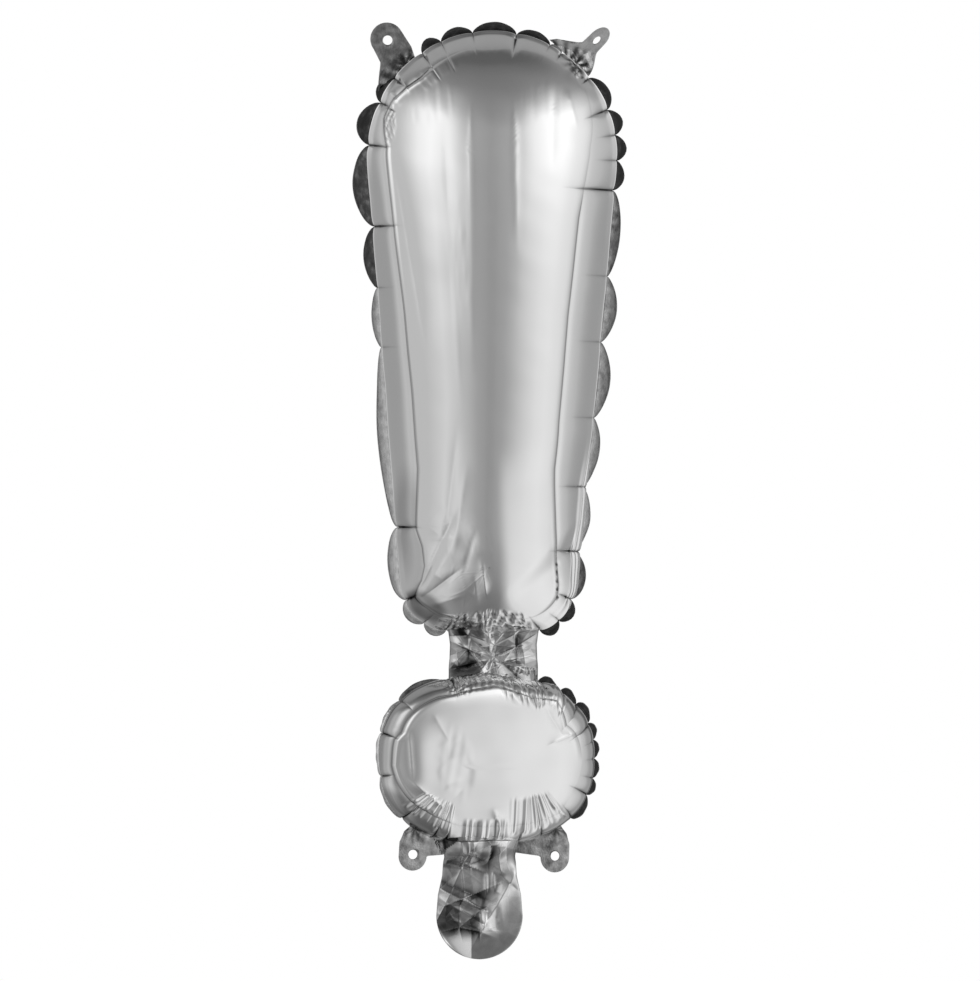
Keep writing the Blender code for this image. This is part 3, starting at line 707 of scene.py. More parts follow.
def fold_line(flat, start, end, height, width, soft=False):
    """A ridge beside a straight line: exp(-distance) or a bell, fading out at both ends."""
    along, across = beside_line(flat, start, end)
    profile = hump(across, 0, width) if soft else np.exp(-np.abs(across) / width)
    return height * profile * smooth_step(0, FOLD_FADE[0], along) * (1 - smooth_step(FOLD_FADE[1], 1, along))


def hinge(flat, start, end, slope, length, soft):
    """On one side of a line the film turns away: slope * length * (1 - exp(-distance / length)).

    The distance starts as soft * log(1 + exp(distance / soft)), which rounds the fold.
    """
    along, across = beside_line(flat, start, end)
    across = soft * np.logaddexp(0, across / soft)
    begins = smooth_step(-HINGE_FADE[0], HINGE_FADE[0], along)
    ends = 1 - smooth_step(1 - HINGE_FADE[1], 1 + HINGE_FADE[1], along)
    return slope * length * (1 - np.exp(-across / length)) * begins * ends


def all_of(shape, place, rows):
    """The sum of one kind of mark over the rows of a table."""
    return sum(shape(*place, *row) for row in rows)


middle_of_fold = fold_line(np.array([0.0, 5.0]), (0.0, 0.0), (0.0, 10.0), 0.5, 1.0)
print("a fold 0.5 mm high rises", round(float(middle_of_fold), 2), "mm in its middle")

# %% [markdown]
# ## Pleats and crinkles
#
# The finer marks follow the seam or fill a patch. A pleat has a sharp valley and a round
# back, which is the shape of |sin|, where plain sine waves would look like soft dunes.

# %% Pleats, crinkles and streaks
CRINKLE_SIZE = 2.6
CRINKLE_SEED = 11


def pleats(seam, past, spot, half_length, inner, outer, pitch, height, slant=0.0):
    """Narrow folds that run in from the seam: |sin| along the seam, from outer to inner."""
    away = seam.away_from(seam.length_at(spot))[:, None]
    drift = 0.8 * np.sin(away * 0.9) + slant * past
    wave = np.abs(np.sin(math.pi * (away + drift) / pitch)) - 0.5
    window = 1 - smooth_step(0.7 * half_length, half_length, np.abs(away))
    depth = smooth_step(outer, outer + 2.5, past) * (1 - smooth_step(inner - 3, inner, past))
    return height * wave * window * depth


def valley_shade(lift, strength):
    """Painted shade in the valleys of some folds."""
    return strength * np.maximum(-lift, 0)


def crinkled(flat, middle, size, height):
    """A patch of small sharp crinkles."""
    return height * np.abs(waves(flat, CRINKLE_SIZE, 1.0, CRINKLE_SEED)) * patch(flat, middle, size)


def streaks(flat, pitch, height, seed, count=5):
    """Fine upright ripples: waves across x whose phase drifts slowly with z."""
    draw = np.random.default_rng(seed)
    total = np.zeros(flat.shape[:-1])
    for stretch, phase in draw.uniform((0.6, 0), (1.5, 2 * math.pi), (count, 2)):
        total += np.sin(2 * math.pi * flat[..., 0] / (pitch * stretch) + phase + 0.12 * flat[..., 1])
    return height * total / math.sqrt(count)


def star(flat, middle, radius, points):
    """Pleats that run out from a point, (1 + cos(n angle)) / 2, fading with the distance."""
    apart = flat - np.array(middle)
    distance = np.hypot(apart[..., 0], apart[..., 1])
    angle = np.arctan2(apart[..., 1], apart[..., 0])
    rays = 0.5 + 0.5 * np.cos(points * angle + 1.3 * np.sin(2 * angle))
    return rays * np.exp(-((distance / radius) ** 2)) * np.minimum(distance, 1.0)


print("a valley 0.2 mm deep gets a tone of", round(float(valley_shade(-0.2, 2.4)), 2))

# %% [markdown]
# ## Crumpled foil
#
# Crumpled foil is made of flat facets between sharp folds. So points scattered over it get
# random heights, and flat triangles span them. Noise would give soft hills instead, and a
# simulation would take minutes. Each triangle gets its own painted shade, a random darkness
# for the dark parts of the room that its facet mirrors, and a thin bead follows
# each fold, where real foil catches the light.

# %% Crumples
BEAD_WIDTH = 0.22
SCATTER = 0.42


def crumpled(flat, spacing, height, seed, shading, bead):
    """Flat triangles between scattered points of random height, with a bead along each fold, and a random
    painted shade on each triangle.
    """
    draw = np.random.default_rng(seed)
    low, high = flat.reshape(-1, 2).min(axis=0) - spacing, flat.reshape(-1, 2).max(axis=0) + spacing
    x, z = np.meshgrid(*[np.arange(start, end + spacing, spacing) for start, end in zip(low, high)])
    spots = np.column_stack([x.ravel(), z.ravel()]) + draw.uniform(-SCATTER, SCATTER, (x.size, 2)) * spacing
    heights = draw.uniform(-height, height, len(spots))
    triangles = delaunay_2d_cdt([Vector(spot) for spot in spots], [], [], 0, 1e-6)[2]
    lift, dull_and_shade = np.zeros(flat.shape[:-1]), np.zeros(flat.shape[:-1])
    for one, two, three in triangles:
        # Painted shade of this facet, as if it mirrored a dark part of the room.
        tone = shading * draw.random() ** 2
        sides = np.stack([spots[two] - spots[one], spots[three] - spots[one]])
        close = np.hypot(*np.moveaxis(flat - spots[one], -1, 0)) < 3 * spacing
        weights = (flat[close] - spots[one]) @ np.linalg.inv(sides)
        third = 1 - weights.sum(axis=-1)
        nearest = np.minimum(weights.min(axis=-1), third)
        rise = np.array([heights[two] - heights[one], heights[three] - heights[one]])
        from_fold = np.maximum(nearest, 0) * spacing
        level = heights[one] + weights @ rise + bead * np.exp(-from_fold / BEAD_WIDTH)
        lift[close] = np.where(nearest >= 0, level, lift[close])
        dull_and_shade[close] = np.where(nearest >= 0, tone, dull_and_shade[close])
    return lift, dull_and_shade


one_spot = crumpled(np.zeros((1, 1, 2)), 4.0, 0.5, 1, 1.0, 0.0)[0]
print("foil crumpled to 0.5 mm rises", round(float(one_spot[0, 0]), 2), "mm at one spot")

# %% [markdown]
# ## The bar
#
# The bar is the larger chamber. A flat band runs round its edge, with a crease inside it,
# and crimps cross the band where the scallops meet. The face has long soft upright folds,
# fine streaks, and below them a fan of creases that runs up from the last crimp on the
# left, where the film is pulled tight. Every mark is a row in a table: the place and the
# size of a fold can then be changed on their own. Rows of the band give x and z of the
# crease, its depth, the ridge inside it and how flat the band is.

# %% The bar's band and folds
BAR_BAND = [
    (-30.6, -16.0, 0.5, 0.2, 1.2), (-20.0, -8.5, 0.15, 0.0, 1.3), (-11.1, -4.4, 0.08, 0.0, 1.3),
    (0.0, -3.9, 0.06, 0.0, 1.3), (24.5, -7.3, 0.08, 0.0, 1.2), (33.4, -12.6, 0.15, 0.0, 1.2),
    (39.7, -22.4, 0.1, 0.0, 1.2), (41.4, -45.2, 0.1, 0.0, 1.2), (38.7, -64.0, 0.2, 0.0, 1.4),
    (37.0, -75.0, 0.6, 0.0, 1.6), (32.5, -116.0, 0.6, 0.0, 1.8), (28.7, -160.5, 0.6, 0.0, 1.6),
    (27.5, -180.8, 0.7, 0.0, 1.4), (28.7, -218.1, 0.7, 0.1, 1.2), (28.6, -236.0, 0.5, 0.1, 0.8),
    (18.0, -243.5, 0.1, 0.0, 0.4), (-16.0, -243.5, 0.1, 0.0, 0.4), (-28.0, -240.0, 0.4, 0.1, 0.8),
    (-33.4, -236.0, 0.9, 0.2, 0.8), (-30.2, -230.0, 0.6, 0.0, 1.3), (-29.1, -222.3, 0.6, 0.0, 1.5),
    (-30.2, -213.5, 0.8, 0.0, 1.4), (-33.1, -206.3, 1.1, 0.2, 1.3), (-32.3, -180.8, 1.1, 0.0, 1.6),
    (-34.8, -148.2, 1.1, 0.1, 1.6), (-37.8, -116.0, 1.1, 0.25, 1.6), (-42.5, -78.3, 1.1, 0.5, 1.5),
    (-45.4, -45.3, 0.9, 0.5, 1.3), (-46.3, -33.0, 0.6, 0.3, 1.2), (-43.3, -26.2, 0.9, 0.4, 1.2),
]
BAR_FOLDS = [
    ((-8.6, -22.0), (-8.6, -150.0), 0.22, 2.2), ((9.6, -26.0), (10.2, -95.0), 0.18, 1.2),
    ((-9.0, -26.0), (-9.0, -76.0), 0.09, 0.45), ((8.8, -24.0), (8.9, -72.0), 0.11, 0.45),
    ((-40.5, -12.5), (-34.5, -24.0), 0.5, 0.8), ((-44.5, -20.0), (-39.0, -29.5), 0.5, 0.8),
    ((-20.5, -30.0), (-15.0, -140.0), -0.30, 2.6), ((-19.5, -58.0), (-12.5, -165.0), 0.16, 1.4),
    ((26.0, -18.0), (25.5, -60.0), -0.28, 2.5), ((31.0, -20.0), (36.5, -40.0), 0.20, 1.2),
    ((-43.0, -42.0), (-27.0, -136.0), -0.5, 2.6), ((-33.5, -238.0), (-13.5, -196.0), -0.75, 1.3),
    ((-32.5, -238.5), (-11.5, -222.5), -0.75, 1.4), ((-12.5, -227.0), (-6.0, -205.0), -0.5, 1.6),
    ((-4.8, -218.0), (-2.2, -237.0), 0.6, 1.5), ((-7.5, -224.0), (-6.0, -240.0), -0.4, 1.6),
    ((-20.0, -212.0), (-14.0, -160.0), -0.35, 2.2), ((-17.0, -222.0), (-10.0, -176.0), 0.3, 1.8),
    ((-30.0, -236.0), (-12.0, -206.0), 0.35, 2.4), ((-28.0, -240.0), (-10.0, -234.0), 0.5, 2.2),
]
print("bar:", len(BAR_BAND), "places of the crease and", len(BAR_FOLDS), "folds")

# %% The bar's marks
# Five small dents, only as painted shade: there is no dent in the shape.
DENT_SHADE_X = 28.4
DENT_SHADE_Z = (-222.4, -236.6)
SCRATCHES = [((x, -62.0), (x + 7.0, -128.0), 0.07, 0.4) for x in (-21.0, -19.3, -17.9, -16.0, -14.8)]
BAND_SHADE = 0.22
BAR_HINGES = [
    ((3.0, -180.0), (8.0, -240.0), -0.18, 9.0, 1.6), ((7.5, -236.0), (21.5, -251.5), -0.16, 6.0, 0.8),
    ((-13.5, -196.0), (-34.0, -238.0), 0.12, 5.0, 0.3),
]
BAR_WAVES = [(46.0, 0.10, 3), (17.0, 0.018, 5)]
BAR_PLEATS = [
    ((-28.0, -6.0), 12.0, 9.0, -4.0, 2.3, 0.22), ((4.0, BAR_TOP), 26.0, 5.0, -1.5, 2.9, 0.07),
    ((35.0, -226.0), 9.0, 2.0, -2.0, 4.2, 0.35),
]
FOOT_PLEATS = [
    ((8.0, BAR_BOTTOM), 12.0, 5.0, -8.5, 2.9, 0.65, 0.35),
    ((-11.0, BAR_BOTTOM), 10.0, 4.0, -8.5, 3.6, 0.65, -0.2),
]
BAR_CRINKLES = [((-43.6, -36.0), (3.2, 10.5), 0.3), ((-12.0, -247.0), (9.0, 4.0), 0.3)]
BAR_PUCKER = ((37.0, -9.0), 5.0, 9)
STREAK_PATCHES = [((-27.0, -27.0), (14.0, 12.0)), ((24.0, -27.0), (14.0, 11.0))]
CRUMPLED_PATCH = ((-16.0, -218.0), (16.0, 26.0), 0.3)
FOOT_SHADOW = ((-28.0, -240.0), (12.0, 7.0), -0.5)
LEFT_SHADOW = ((-35.0, -215.0), (9.0, 40.0), 0.06)


def bar_marks(seam, flat, past):
    """What lifts the front film of the bar, and the painted shade on it."""
    place, edge = (flat,), (seam, past)
    foot = all_of(pleats, edge, FOOT_PLEATS)
    crinkles = all_of(crinkled, place, BAR_CRINKLES)
    pucker_and_shade = star(flat, *BAR_PUCKER)
    lift = all_of(waves, place, BAR_WAVES) + all_of(fold_line, place, BAR_FOLDS + SCRATCHES)
    lift += all_of(pleats, edge, BAR_PLEATS) + foot + all_of(hinge, place, BAR_HINGES)
    lift += crinkles - 0.8 * pucker_and_shade
    lift += streaks(flat, 3.6, 0.022, 13) * all_of(patch, place, STREAK_PATCHES)
    crumple = crumpled(flat, 8.0, 0.26, 47, 0.0, 0.07)[0] + waves(flat, 11.0, 0.10, 7)
    lift += crumple * patch(flat, *CRUMPLED_PATCH) * smooth_step(0.0, 2.0, past)
    # Painted shade: five small dents, a shadow at the foot, the pleats' valleys and the left band.
    dent_shade = sum(patch(flat, (DENT_SHADE_X, z), (0.9, 1.0)) for z in np.linspace(*DENT_SHADE_Z, 5))
    shadow = 0.5 * patch(flat, *FOOT_SHADOW) + valley_shade(foot, 2.4) + 0.8 * dent_shade
    shadow += BAND_SHADE * patch(flat, *LEFT_SHADOW) * smooth_step(1.0, -1.0, past)
    # Painted shade on the rays of the pucker and on the crinkles, over the painted shadows.
    return lift, 1.4 * pucker_and_shade + 0.9 * crinkles + shadow


print("bar:", len(BAR_PLEATS + FOOT_PLEATS), "fans of pleats and", len(SCRATCHES), "scratches")

# %% The back of the bar
BACK_WAVES = [(46.0, 0.10, 23), (17.0, 0.018, 25)]
BACK_FOLDS = [
    ((14.0, -30.0), (11.0, -170.0), 0.22, 2.4), ((-24.0, -60.0), (-17.0, -150.0), -0.28, 2.8),
    ((31.0, -238.0), (12.0, -196.0), -0.6, 1.6), ((-30.0, -238.0), (-10.0, -214.0), -0.5, 1.8),
]
BACK_PLEATS = [((NECK_X, BAR_BOTTOM), 18.0, 4.0, -7.5, 4.0, 0.6)]


def back_marks(seam, flat, past):
    """The back is calmer: waves like the front's, and a few folds and pleats above the neck."""
    lift = all_of(waves, (flat,), BACK_WAVES) + all_of(fold_line, (flat,), BACK_FOLDS)
    return lift + all_of(pleats, (seam, past), BACK_PLEATS), 0.0


print("back of the bar:", len(BACK_FOLDS), "folds")

# %% The bar's films
BAR_FULLNESS = (1.45, 1.20)
BAR_EDGE = 17.0
BAR_POWER = 0.5


def bar_fullness(z):
    """C, e and p of the blown depth; C is larger towards the narrow foot."""
    return np.interp(z, [BAR_BOTTOM, BAR_TOP], BAR_FULLNESS), BAR_EDGE, BAR_POWER


bar_front, bar_front_painted_shade = blown_film(bar, bar_height, bar_fullness, BAR_BAND, -1, bar_marks)
bar_back, bar_back_painted_shade = blown_film(bar, bar_height, bar_fullness, BAR_BAND, 1, back_marks)
bar_back[:, 0] = bar_front[:, 0]
BAR_INSIDE = (0.0, 0.0, -120.0)
bar_front_piece = closed_piece("bar_front_foil", bar_front, BAR_INSIDE, SILVER, {"dull_and_shade": bar_front_painted_shade})
bar_back_piece = closed_piece("bar_back_foil", bar_back, BAR_INSIDE, SILVER, {"dull_and_shade": bar_back_painted_shade})
print("bar half depth, front and back:", round(-bar_front[..., 1].min(), 1), round(bar_back[..., 1].max(), 1))

# %% [markdown]
# ## The dot
#
# The dot is made like the bar, with its own tables. Its film is much flatter, its power p
# lower, and its face leans a little down, so that it mirrors the light below. The pleats
# are deepest at the neck and at the throat of the tail, where the film is drawn together.

# %% The dot's band and folds
DOT_BAND = [
    (-46.4, -306.2, 0.9, 0.3, 0.8), (-44.6, -294.8, 0.9, 0.3, 0.9), (-41.5, -291.8, 1.0, 0.2, 1.2),
    (-27.4, -280.0, 1.0, 0.1, 1.2), (-20.0, -279.0, 0.7, 0.0, 0.6), (-1.8, -276.5, 0.7, 0.0, 0.6),
    (13.0, -280.4, 0.3, 0.0, 0.6), (24.8, -281.7, 0.5, 0.1, 1.0), (29.6, -290.9, 0.5, 0.2, 1.0),
    (37.5, -305.0, 0.0, 0.0, 0.6), (34.0, -318.0, 0.0, 0.0, 0.6), (28.0, -328.0, 0.1, 0.0, 0.5),
    (1.2, -332.6, 0.1, 0.0, 0.5), (-17.0, -332.0, 0.2, 0.0, 0.5), (-32.0, -326.0, 0.9, 0.1, 0.7),
    (-42.0, -317.4, 0.9, 0.2, 0.8),
]
DOT_FOLDS = [
    ((-36.0, -311.0), (-15.0, -329.0), 0.7, 1.4), ((-35.2, -290.0), (-33.0, -316.0), -0.5, 1.6),
    ((24.0, -322.0), (37.0, -334.0), 0.7, 1.2), ((22.0, -299.0), (38.0, -292.0), 0.5, 1.2),
    ((19.5, -282.0), (30.0, -296.0), -0.4, 1.3), ((0.5, -324.0), (6.0, -341.0), 0.7, 1.4),
    ((-17.0, -326.0), (-19.0, -341.0), 0.6, 1.4), ((-26.0, -285.0), (-18.0, -297.0), 0.3, 2.0),
]
print("dot:", len(DOT_BAND), "places of the crease and", len(DOT_FOLDS), "folds")

# %% The dot's marks
DOT_SHADOW = 0.4
DOT_LEAN = 0.13
DOT_LEAN_REACH = (-14.0, 1.0)
DOT_FLATTER = 0.004
DOT_WAVES = [(30.0, 0.10, 31), (12.0, 0.03, 33)]
DOT_PLEATS = [
    ((-33.0, -332.0), 15.0, 9.0, -5.0, 2.6, 0.55), ((20.0, -338.0), 17.0, 13.0, -5.0, 3.4, 0.55),
]
DRAWN_PLEATS = [
    ((TAIL_X, -342.0), 11.0, 4.0, -12.0, 3.7, 0.9), ((10.0, -273.0), 11.0, 4.5, -8.0, 3.4, 0.8, -0.3),
    ((-11.0, -273.0), 10.5, 1.5, -8.0, 1.6, 0.5), ((25.0, -277.0), 8.0, 4.0, -8.0, 3.0, 0.5, -0.3),
]
DOT_RIDGE = ((-31.5, -286.0), (-29.5, -324.0), 1.0, 7.0)
DOT_CRINKLES = ((-14.0, -276.0), (10.0, 4.0), 0.25)
DOT_BRIGHT = ((-15.5, -306.0), (9.0, 19.0), 0.15)
DOT_LOW_SHADOW = ((-35.0, -327.5), (24.0, 8.0), -0.55)
DOT_LEFT_SHADOW = ((-38.0, -290.0), (20.0, 32.0), -0.4)


def dot_marks(seam, flat, past):
    """What lifts the front film of the dot, whose face leans a little down, and the painted shade on it."""
    place, edge = (flat,), (seam, past)
    drawn = all_of(pleats, edge, DRAWN_PLEATS)
    crinkles = crinkled(flat, *DOT_CRINKLES)
    lift = all_of(waves, place, DOT_WAVES) + all_of(fold_line, place, DOT_FOLDS)
    lift += fold_line(flat, *DOT_RIDGE, soft=True)
    lift += all_of(pleats, edge, DOT_PLEATS) + drawn + crinkles
    clouds = crumpled(flat, 6.0, 0.3, 37, 0.0, 0.0)[0] + waves(flat, 5.0, 0.04, 35)
    lift += clouds * patch(flat, *DOT_BRIGHT)
    above = flat[..., 1] - DOT_Z
    lift += (DOT_LEAN * above + DOT_FLATTER * above ** 2) * smooth_step(*DOT_LEAN_REACH, past)
    # Painted shadows low on the face and on the left band, kept inside the crease.
    shadow = DOT_SHADOW * patch(flat, *DOT_LOW_SHADOW) + BAND_SHADE * patch(flat, *DOT_LEFT_SHADOW)
    shadow = shadow * smooth_step(1.5, -1.5, past)
    # Painted shade of the crinkles and of the drawn pleats' valleys, on top of the shadows.
    return lift, 1.2 * crinkles + shadow + valley_shade(drawn, 1.2)


print("dot:", len(DOT_PLEATS + DRAWN_PLEATS), "fans of pleats")

# %% The dot's films
DOT_BACK_WAVES = [(30.0, 0.10, 41), (12.0, 0.03, 43)]
DOT_BACK_PLEATS = [
    ((NECK_X, -273.0), 20.0, 5.0, -6.0, 3.6, 0.5), ((TAIL_X, -342.0), 26.0, 9.0, -5.0, 3.4, 0.5),
]


def dot_back_marks(seam, flat, past):
    """The back of the dot has waves and two fans of pleats."""
    return all_of(waves, (flat,), DOT_BACK_WAVES) + all_of(pleats, (seam, past), DOT_BACK_PLEATS), 0.0


DOT_FULLNESS = 5.6
DOT_EDGE = 2.0
DOT_POWER = 0.2


def dot_fullness(z):
    """C, e and p of the dot's depth, the same all over."""
    return np.full_like(z, DOT_FULLNESS), DOT_EDGE, DOT_POWER


dot_front, dot_front_painted_shade = blown_film(dot, dot_height, dot_fullness, DOT_BAND, -1, dot_marks)
dot_back, dot_back_painted_shade = blown_film(dot, dot_height, dot_fullness, DOT_BAND, 1, dot_back_marks)
dot_back[:, 0] = dot_front[:, 0]
DOT_INSIDE = (DOT_X, 0.0, DOT_Z)
dot_front_piece = closed_piece(
    "dot_front_foil", dot.in_space(dot_front), DOT_INSIDE, SILVER, {"dull_and_shade": dot_front_painted_shade})
dot_back_piece = closed_piece(
    "dot_back_foil", dot.in_space(dot_back), DOT_INSIDE, SILVER, {"dull_and_shade": dot_back_painted_shade})
print("dot half depth, front and back:", round(-dot_front[..., 1].min(), 1), round(dot_back[..., 1].max(), 1))

# %% The four films on their bodies
for piece, node, body in (
        (bar_front_piece, "bar_front_film", "bar"), (bar_back_piece, "bar_back_film", "bar"),
        (dot_front_piece, "dot_front_film", "dot"), (dot_back_piece, "dot_back_film", "dot")):
    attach(piece, body)
    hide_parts(node)

# %% [markdown]
# ## The sealed edge
#
# Outside the seam the two films are welded flat. Once the chamber is full, that margin is
# too long for its new path, so between the crimps it bows out and leans back in
# scallops. Each scallop is a strip of film whose width is a low arch from crimp to crimp,
# curling further back towards its rim.

# %% Widths of the scallops
SCALLOP_ROWS = 12
SCALLOP_LEAN = (math.radians(28), math.radians(76))
SCALLOP_WALL = 0.16
SCALLOP_FOOT = 0.4
SCALLOP_POWER = 0.75
SCALLOP_RUFFLE = 0.35
RUFFLES_A_SCALLOP = 3


def scallop_widths(seam):
    """Width and darkness (dullness and painted shade) at each column: an arch sin(pi t)^0.75 between
    neighbouring crimps.
    """
    folds = seam.folds
    after = np.searchsorted(folds[:, 0], seam.at, side="right") - 1
    start = folds[after, 0]
    span = (np.roll(folds[:, 0], -1)[after] - start) % seam.perimeter
    share = ((seam.at - start) % seam.perimeter) / span
    return SCALLOP_FOOT + folds[after, 1] * np.sin(math.pi * share) ** SCALLOP_POWER, folds[after, 2], share


def two_films(piece, thickness):
    """Give a sheet the thickness of the two films that are sealed together in it."""
    wall = piece.modifiers.new("two films", "SOLIDIFY")
    wall.thickness = thickness * MM
    wall.offset = 0


print("widest scallop of the bar:", round(float(scallop_widths(bar)[0].max()), 1), "mm")

# %% Sealed strips


def sealed_strip(node, seam, line, start, end, body):
    """Seam point + outward and backward travel, with the lean growing from root to rim."""
    width, dull_and_shade, share = scallop_widths(seam)
    chosen = np.flatnonzero((seam.at - start) % seam.perimeter <= (end - start) % seam.perimeter)
    chosen = chosen[np.argsort((seam.at[chosen] - start) % seam.perimeter)]
    steps = np.linspace(0, 1, SCALLOP_ROWS)
    lean = SCALLOP_LEAN[0] + (SCALLOP_LEAN[1] - SCALLOP_LEAN[0]) * steps
    gone = np.concatenate([[0], np.cumsum(np.cos(lean[1:]))])
    back = np.concatenate([[0], np.cumsum(np.sin(lean[1:]))]) / gone[-1]
    gone = gone / gone[-1]
    reach = width[chosen, None]
    ruffle = np.sin(2 * math.pi * RUFFLES_A_SCALLOP * share[chosen])[:, None] * steps ** 2
    out = seam.out[chosen][:, None]
    flat = line[chosen][:, None, [0, 2]] + out * (reach * gone)[..., None]
    depth = line[chosen][:, None, 1] + reach * back + SCALLOP_RUFFLE * ruffle
    points = np.stack([flat[..., 0], depth, flat[..., 1]], axis=-1)
    faces = grid_faces(*points.shape[:2], wrap=False)
    # Each scallop's dullness and painted shade, the same from its root to its rim.
    shade = np.repeat(dull_and_shade[chosen], SCALLOP_ROWS)
    piece = make_mesh(f"{node}_scallops", seam.in_space(points), faces.tolist(), SEALED, {"dull_and_shade": shade})
    two_films(piece, SCALLOP_WALL)
    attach(piece, body)
    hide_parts(node)


def edge_of(seam, name, side):
    """Where a break in the edge ends, on one side of its middle."""
    return seam.break_at[name] + side * seam.break_half[name]


bar_line, dot_line = bar_front[:, 0], dot_front[:, 0]
STRIPS = [
    ("bar_sealed_edge_top", bar, bar_line, ("top_left", 1), ("top_right", -1), "bar"),
    ("bar_sealed_edge_right", bar, bar_line, ("top_right", 1), ("bar_neck", -1), "bar"),
    ("bar_sealed_edge_left", bar, bar_line, ("bar_neck", 1), ("top_left", -1), "bar"),
    ("dot_sealed_edge_right", dot, dot_line, ("dot_neck", 1), ("bottom_right", -1), "dot"),
    ("dot_sealed_edge_left", dot, dot_line, ("bottom_left", 1), ("dot_neck", -1), "dot"),
]
for node, seam, line, start, end, body in STRIPS:
    sealed_strip(node, seam, line, edge_of(seam, *start), edge_of(seam, *end), body)

# %% [markdown]
# ## Punched tabs
#
# Four tabs of the sealed margin carry the cords. A hole is easiest to keep round if the
# grid runs round it: one parameter turns about the hole, the other goes from its rim to
# the tab's outline. A boolean cut would work too, but it leaves long thin faces that show
# in a mirror.

# %% Sizes of the tabs
# Each tab's darkness is its dullness and painted shade together.
TABS = {
    "top_left": {
        "hole": (-44.3, 0.0), "half": 7.0, "twist": 0.0, "dull_and_shade": 0.55, "ruffle": 0.7, "body": "bar",
        "left": [(-8.0, -6.0), (-16.5, -15.5)],
        "right": [(6.6, -8.0), (4.5, -15.0)]},
    "top_right": {
        "hole": (44.3, 0.0), "half": 6.1, "twist": -52.0, "dull_and_shade": 0.1, "ruffle": 1.0, "body": "bar",
        "left": [(-6.6, -4.5), (-15.5, -13.4)],
        "right": [(6.1, -4.5), (8.0, -13.4)]},
    "bottom_left": {
        "hole": (-35.1, -344.3), "half": 6.2, "twist": 0.0, "dull_and_shade": 0.52, "ruffle": 0.3, "body": "dot",
        "left": [(-7.0, 0.2), (-16.0, -0.8), (-17.0, -13.4)],
        "right": [(6.2, -5.0), (4.5, -9.5), (0.5, -13.4)]},
    "bottom_right": {
        "hole": (28.2, -346.3), "half": 6.4, "twist": 0.0, "dull_and_shade": 0.56, "ruffle": 0.3, "body": "dot",
        "left": [(-6.4, -5.0), (-5.0, -9.5), (-1.0, -14.5)],
        "right": [(7.2, 0.0), (17.5, -1.2), (18.0, -14.5)]},
}
TAB_HEAD = 0.6
TAB_HOLE = 2.0
TAB_WALL = 0.18
TAB_TURNS = 180
TAB_RINGS = 28
TAB_STEP = 0.1
TAB_RING_CROWDING = 0.8
TAB_CUP = 0.05
TAB_RUFFLE_LENGTH = 5.5
TAB_WAVES = (9.0, 0.12)
# Painted shade: stripes round the tab's root and rays round a pucker that is not in the shape.
TAB_SHADE_STRIPES = 17
TAB_SHADE_STRIPES_BELOW = 6.0
TAB_PUCKER_SHADE = (4.5, 9)
print("tabs:", ", ".join(TABS))

# %% Tabs


def tab_outline(sizes):
    """Distance from the hole's centre to the tab's edge at each angle from the tip."""
    head = arc((0, TAB_HEAD), sizes["half"], 90, 0, 60)
    foot = min(sizes["left"][-1][1], sizes["right"][-1][1])
    whole = np.vstack([head, sizes["right"], [[0, foot]], sizes["left"][::-1], head[::-1] * (-1, 1)])
    line = evenly_spaced(whole, TAB_STEP)
    angles = np.arctan2(line[:, 0], line[:, 1])
    order = np.argsort(angles)
    wanted = np.linspace(-math.pi, math.pi, TAB_TURNS, endpoint=False)
    return wanted, np.interp(wanted, angles[order], np.hypot(*line[order].T), period=2 * math.pi), -foot


def tab_piece(name, seam, line, seed):
    """Hole centre + polar travel in the tab's plane, crumpled towards its root, with painted shade."""
    sizes = TABS[name]
    root_at = seam.length_at(TAB_ROOTS[name])
    nearest = np.argmin(np.abs(seam.away_from(root_at)))
    root = line[nearest][[0, 2]]
    along = np.array(sizes["hole"]) - root
    length = np.hypot(*along)
    along = along / length
    across = np.array([along[1], -along[0]])
    angles, edge, foot = tab_outline(sizes)
    share = np.linspace(0, 1, TAB_RINGS) ** TAB_RING_CROWDING
    radius = TAB_HOLE + (edge[:, None] - TAB_HOLE) * share
    u = radius * np.sin(angles)[:, None]
    v = radius * np.cos(angles)[:, None]
    rooted = 1 - smooth_step(-foot, -0.25 * length, v)
    turn = math.radians(sizes["twist"]) * (1 - rooted)
    plane = np.array(sizes["hole"]) + across * (u * np.cos(turn))[..., None] + along * v[..., None]
    local = np.stack([u, v], axis=-1)
    depth = u * np.sin(turn) + TAB_CUP * u ** 2 / sizes["half"]
    ruffle = sizes["ruffle"] * rooted
    depth += ruffle * np.abs(waves(local, TAB_RUFFLE_LENGTH, 1.0, seed))
    depth += waves(local, *TAB_WAVES, seed + 1)
    points = seam.in_space(np.stack([plane[..., 0], depth, plane[..., 1]], axis=-1))
    shade_stripes = np.cos(TAB_SHADE_STRIPES * np.arctan2(u, v + foot + TAB_SHADE_STRIPES_BELOW))
    pucker_and_shade = star(local, (0.0, -length), *TAB_PUCKER_SHADE)
    # Painted shade: the tab's own darkness, stripes at its root and rays round its pucker.
    dull_and_shade = np.clip(sizes["dull_and_shade"] + ruffle * (0.2 + 0.4 * shade_stripes) + sizes["ruffle"] * pucker_and_shade, 0, 1)
    faces = grid_faces(*points.shape[:2], wrap=True).tolist()
    piece = make_mesh(f"tab_{name}_foil", points, faces, SEALED, {"dull_and_shade": dull_and_shade})
    two_films(piece, TAB_WALL)
    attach(piece, sizes["body"])
    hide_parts(f"tab_{name}")


TAB_SEED = 60
for number, name in enumerate(TABS):
    seam, line = (bar, bar_line) if TABS[name]["body"] == "bar" else (dot, dot_line)
    tab_piece(name, seam, line, TAB_SEED + 2 * number)

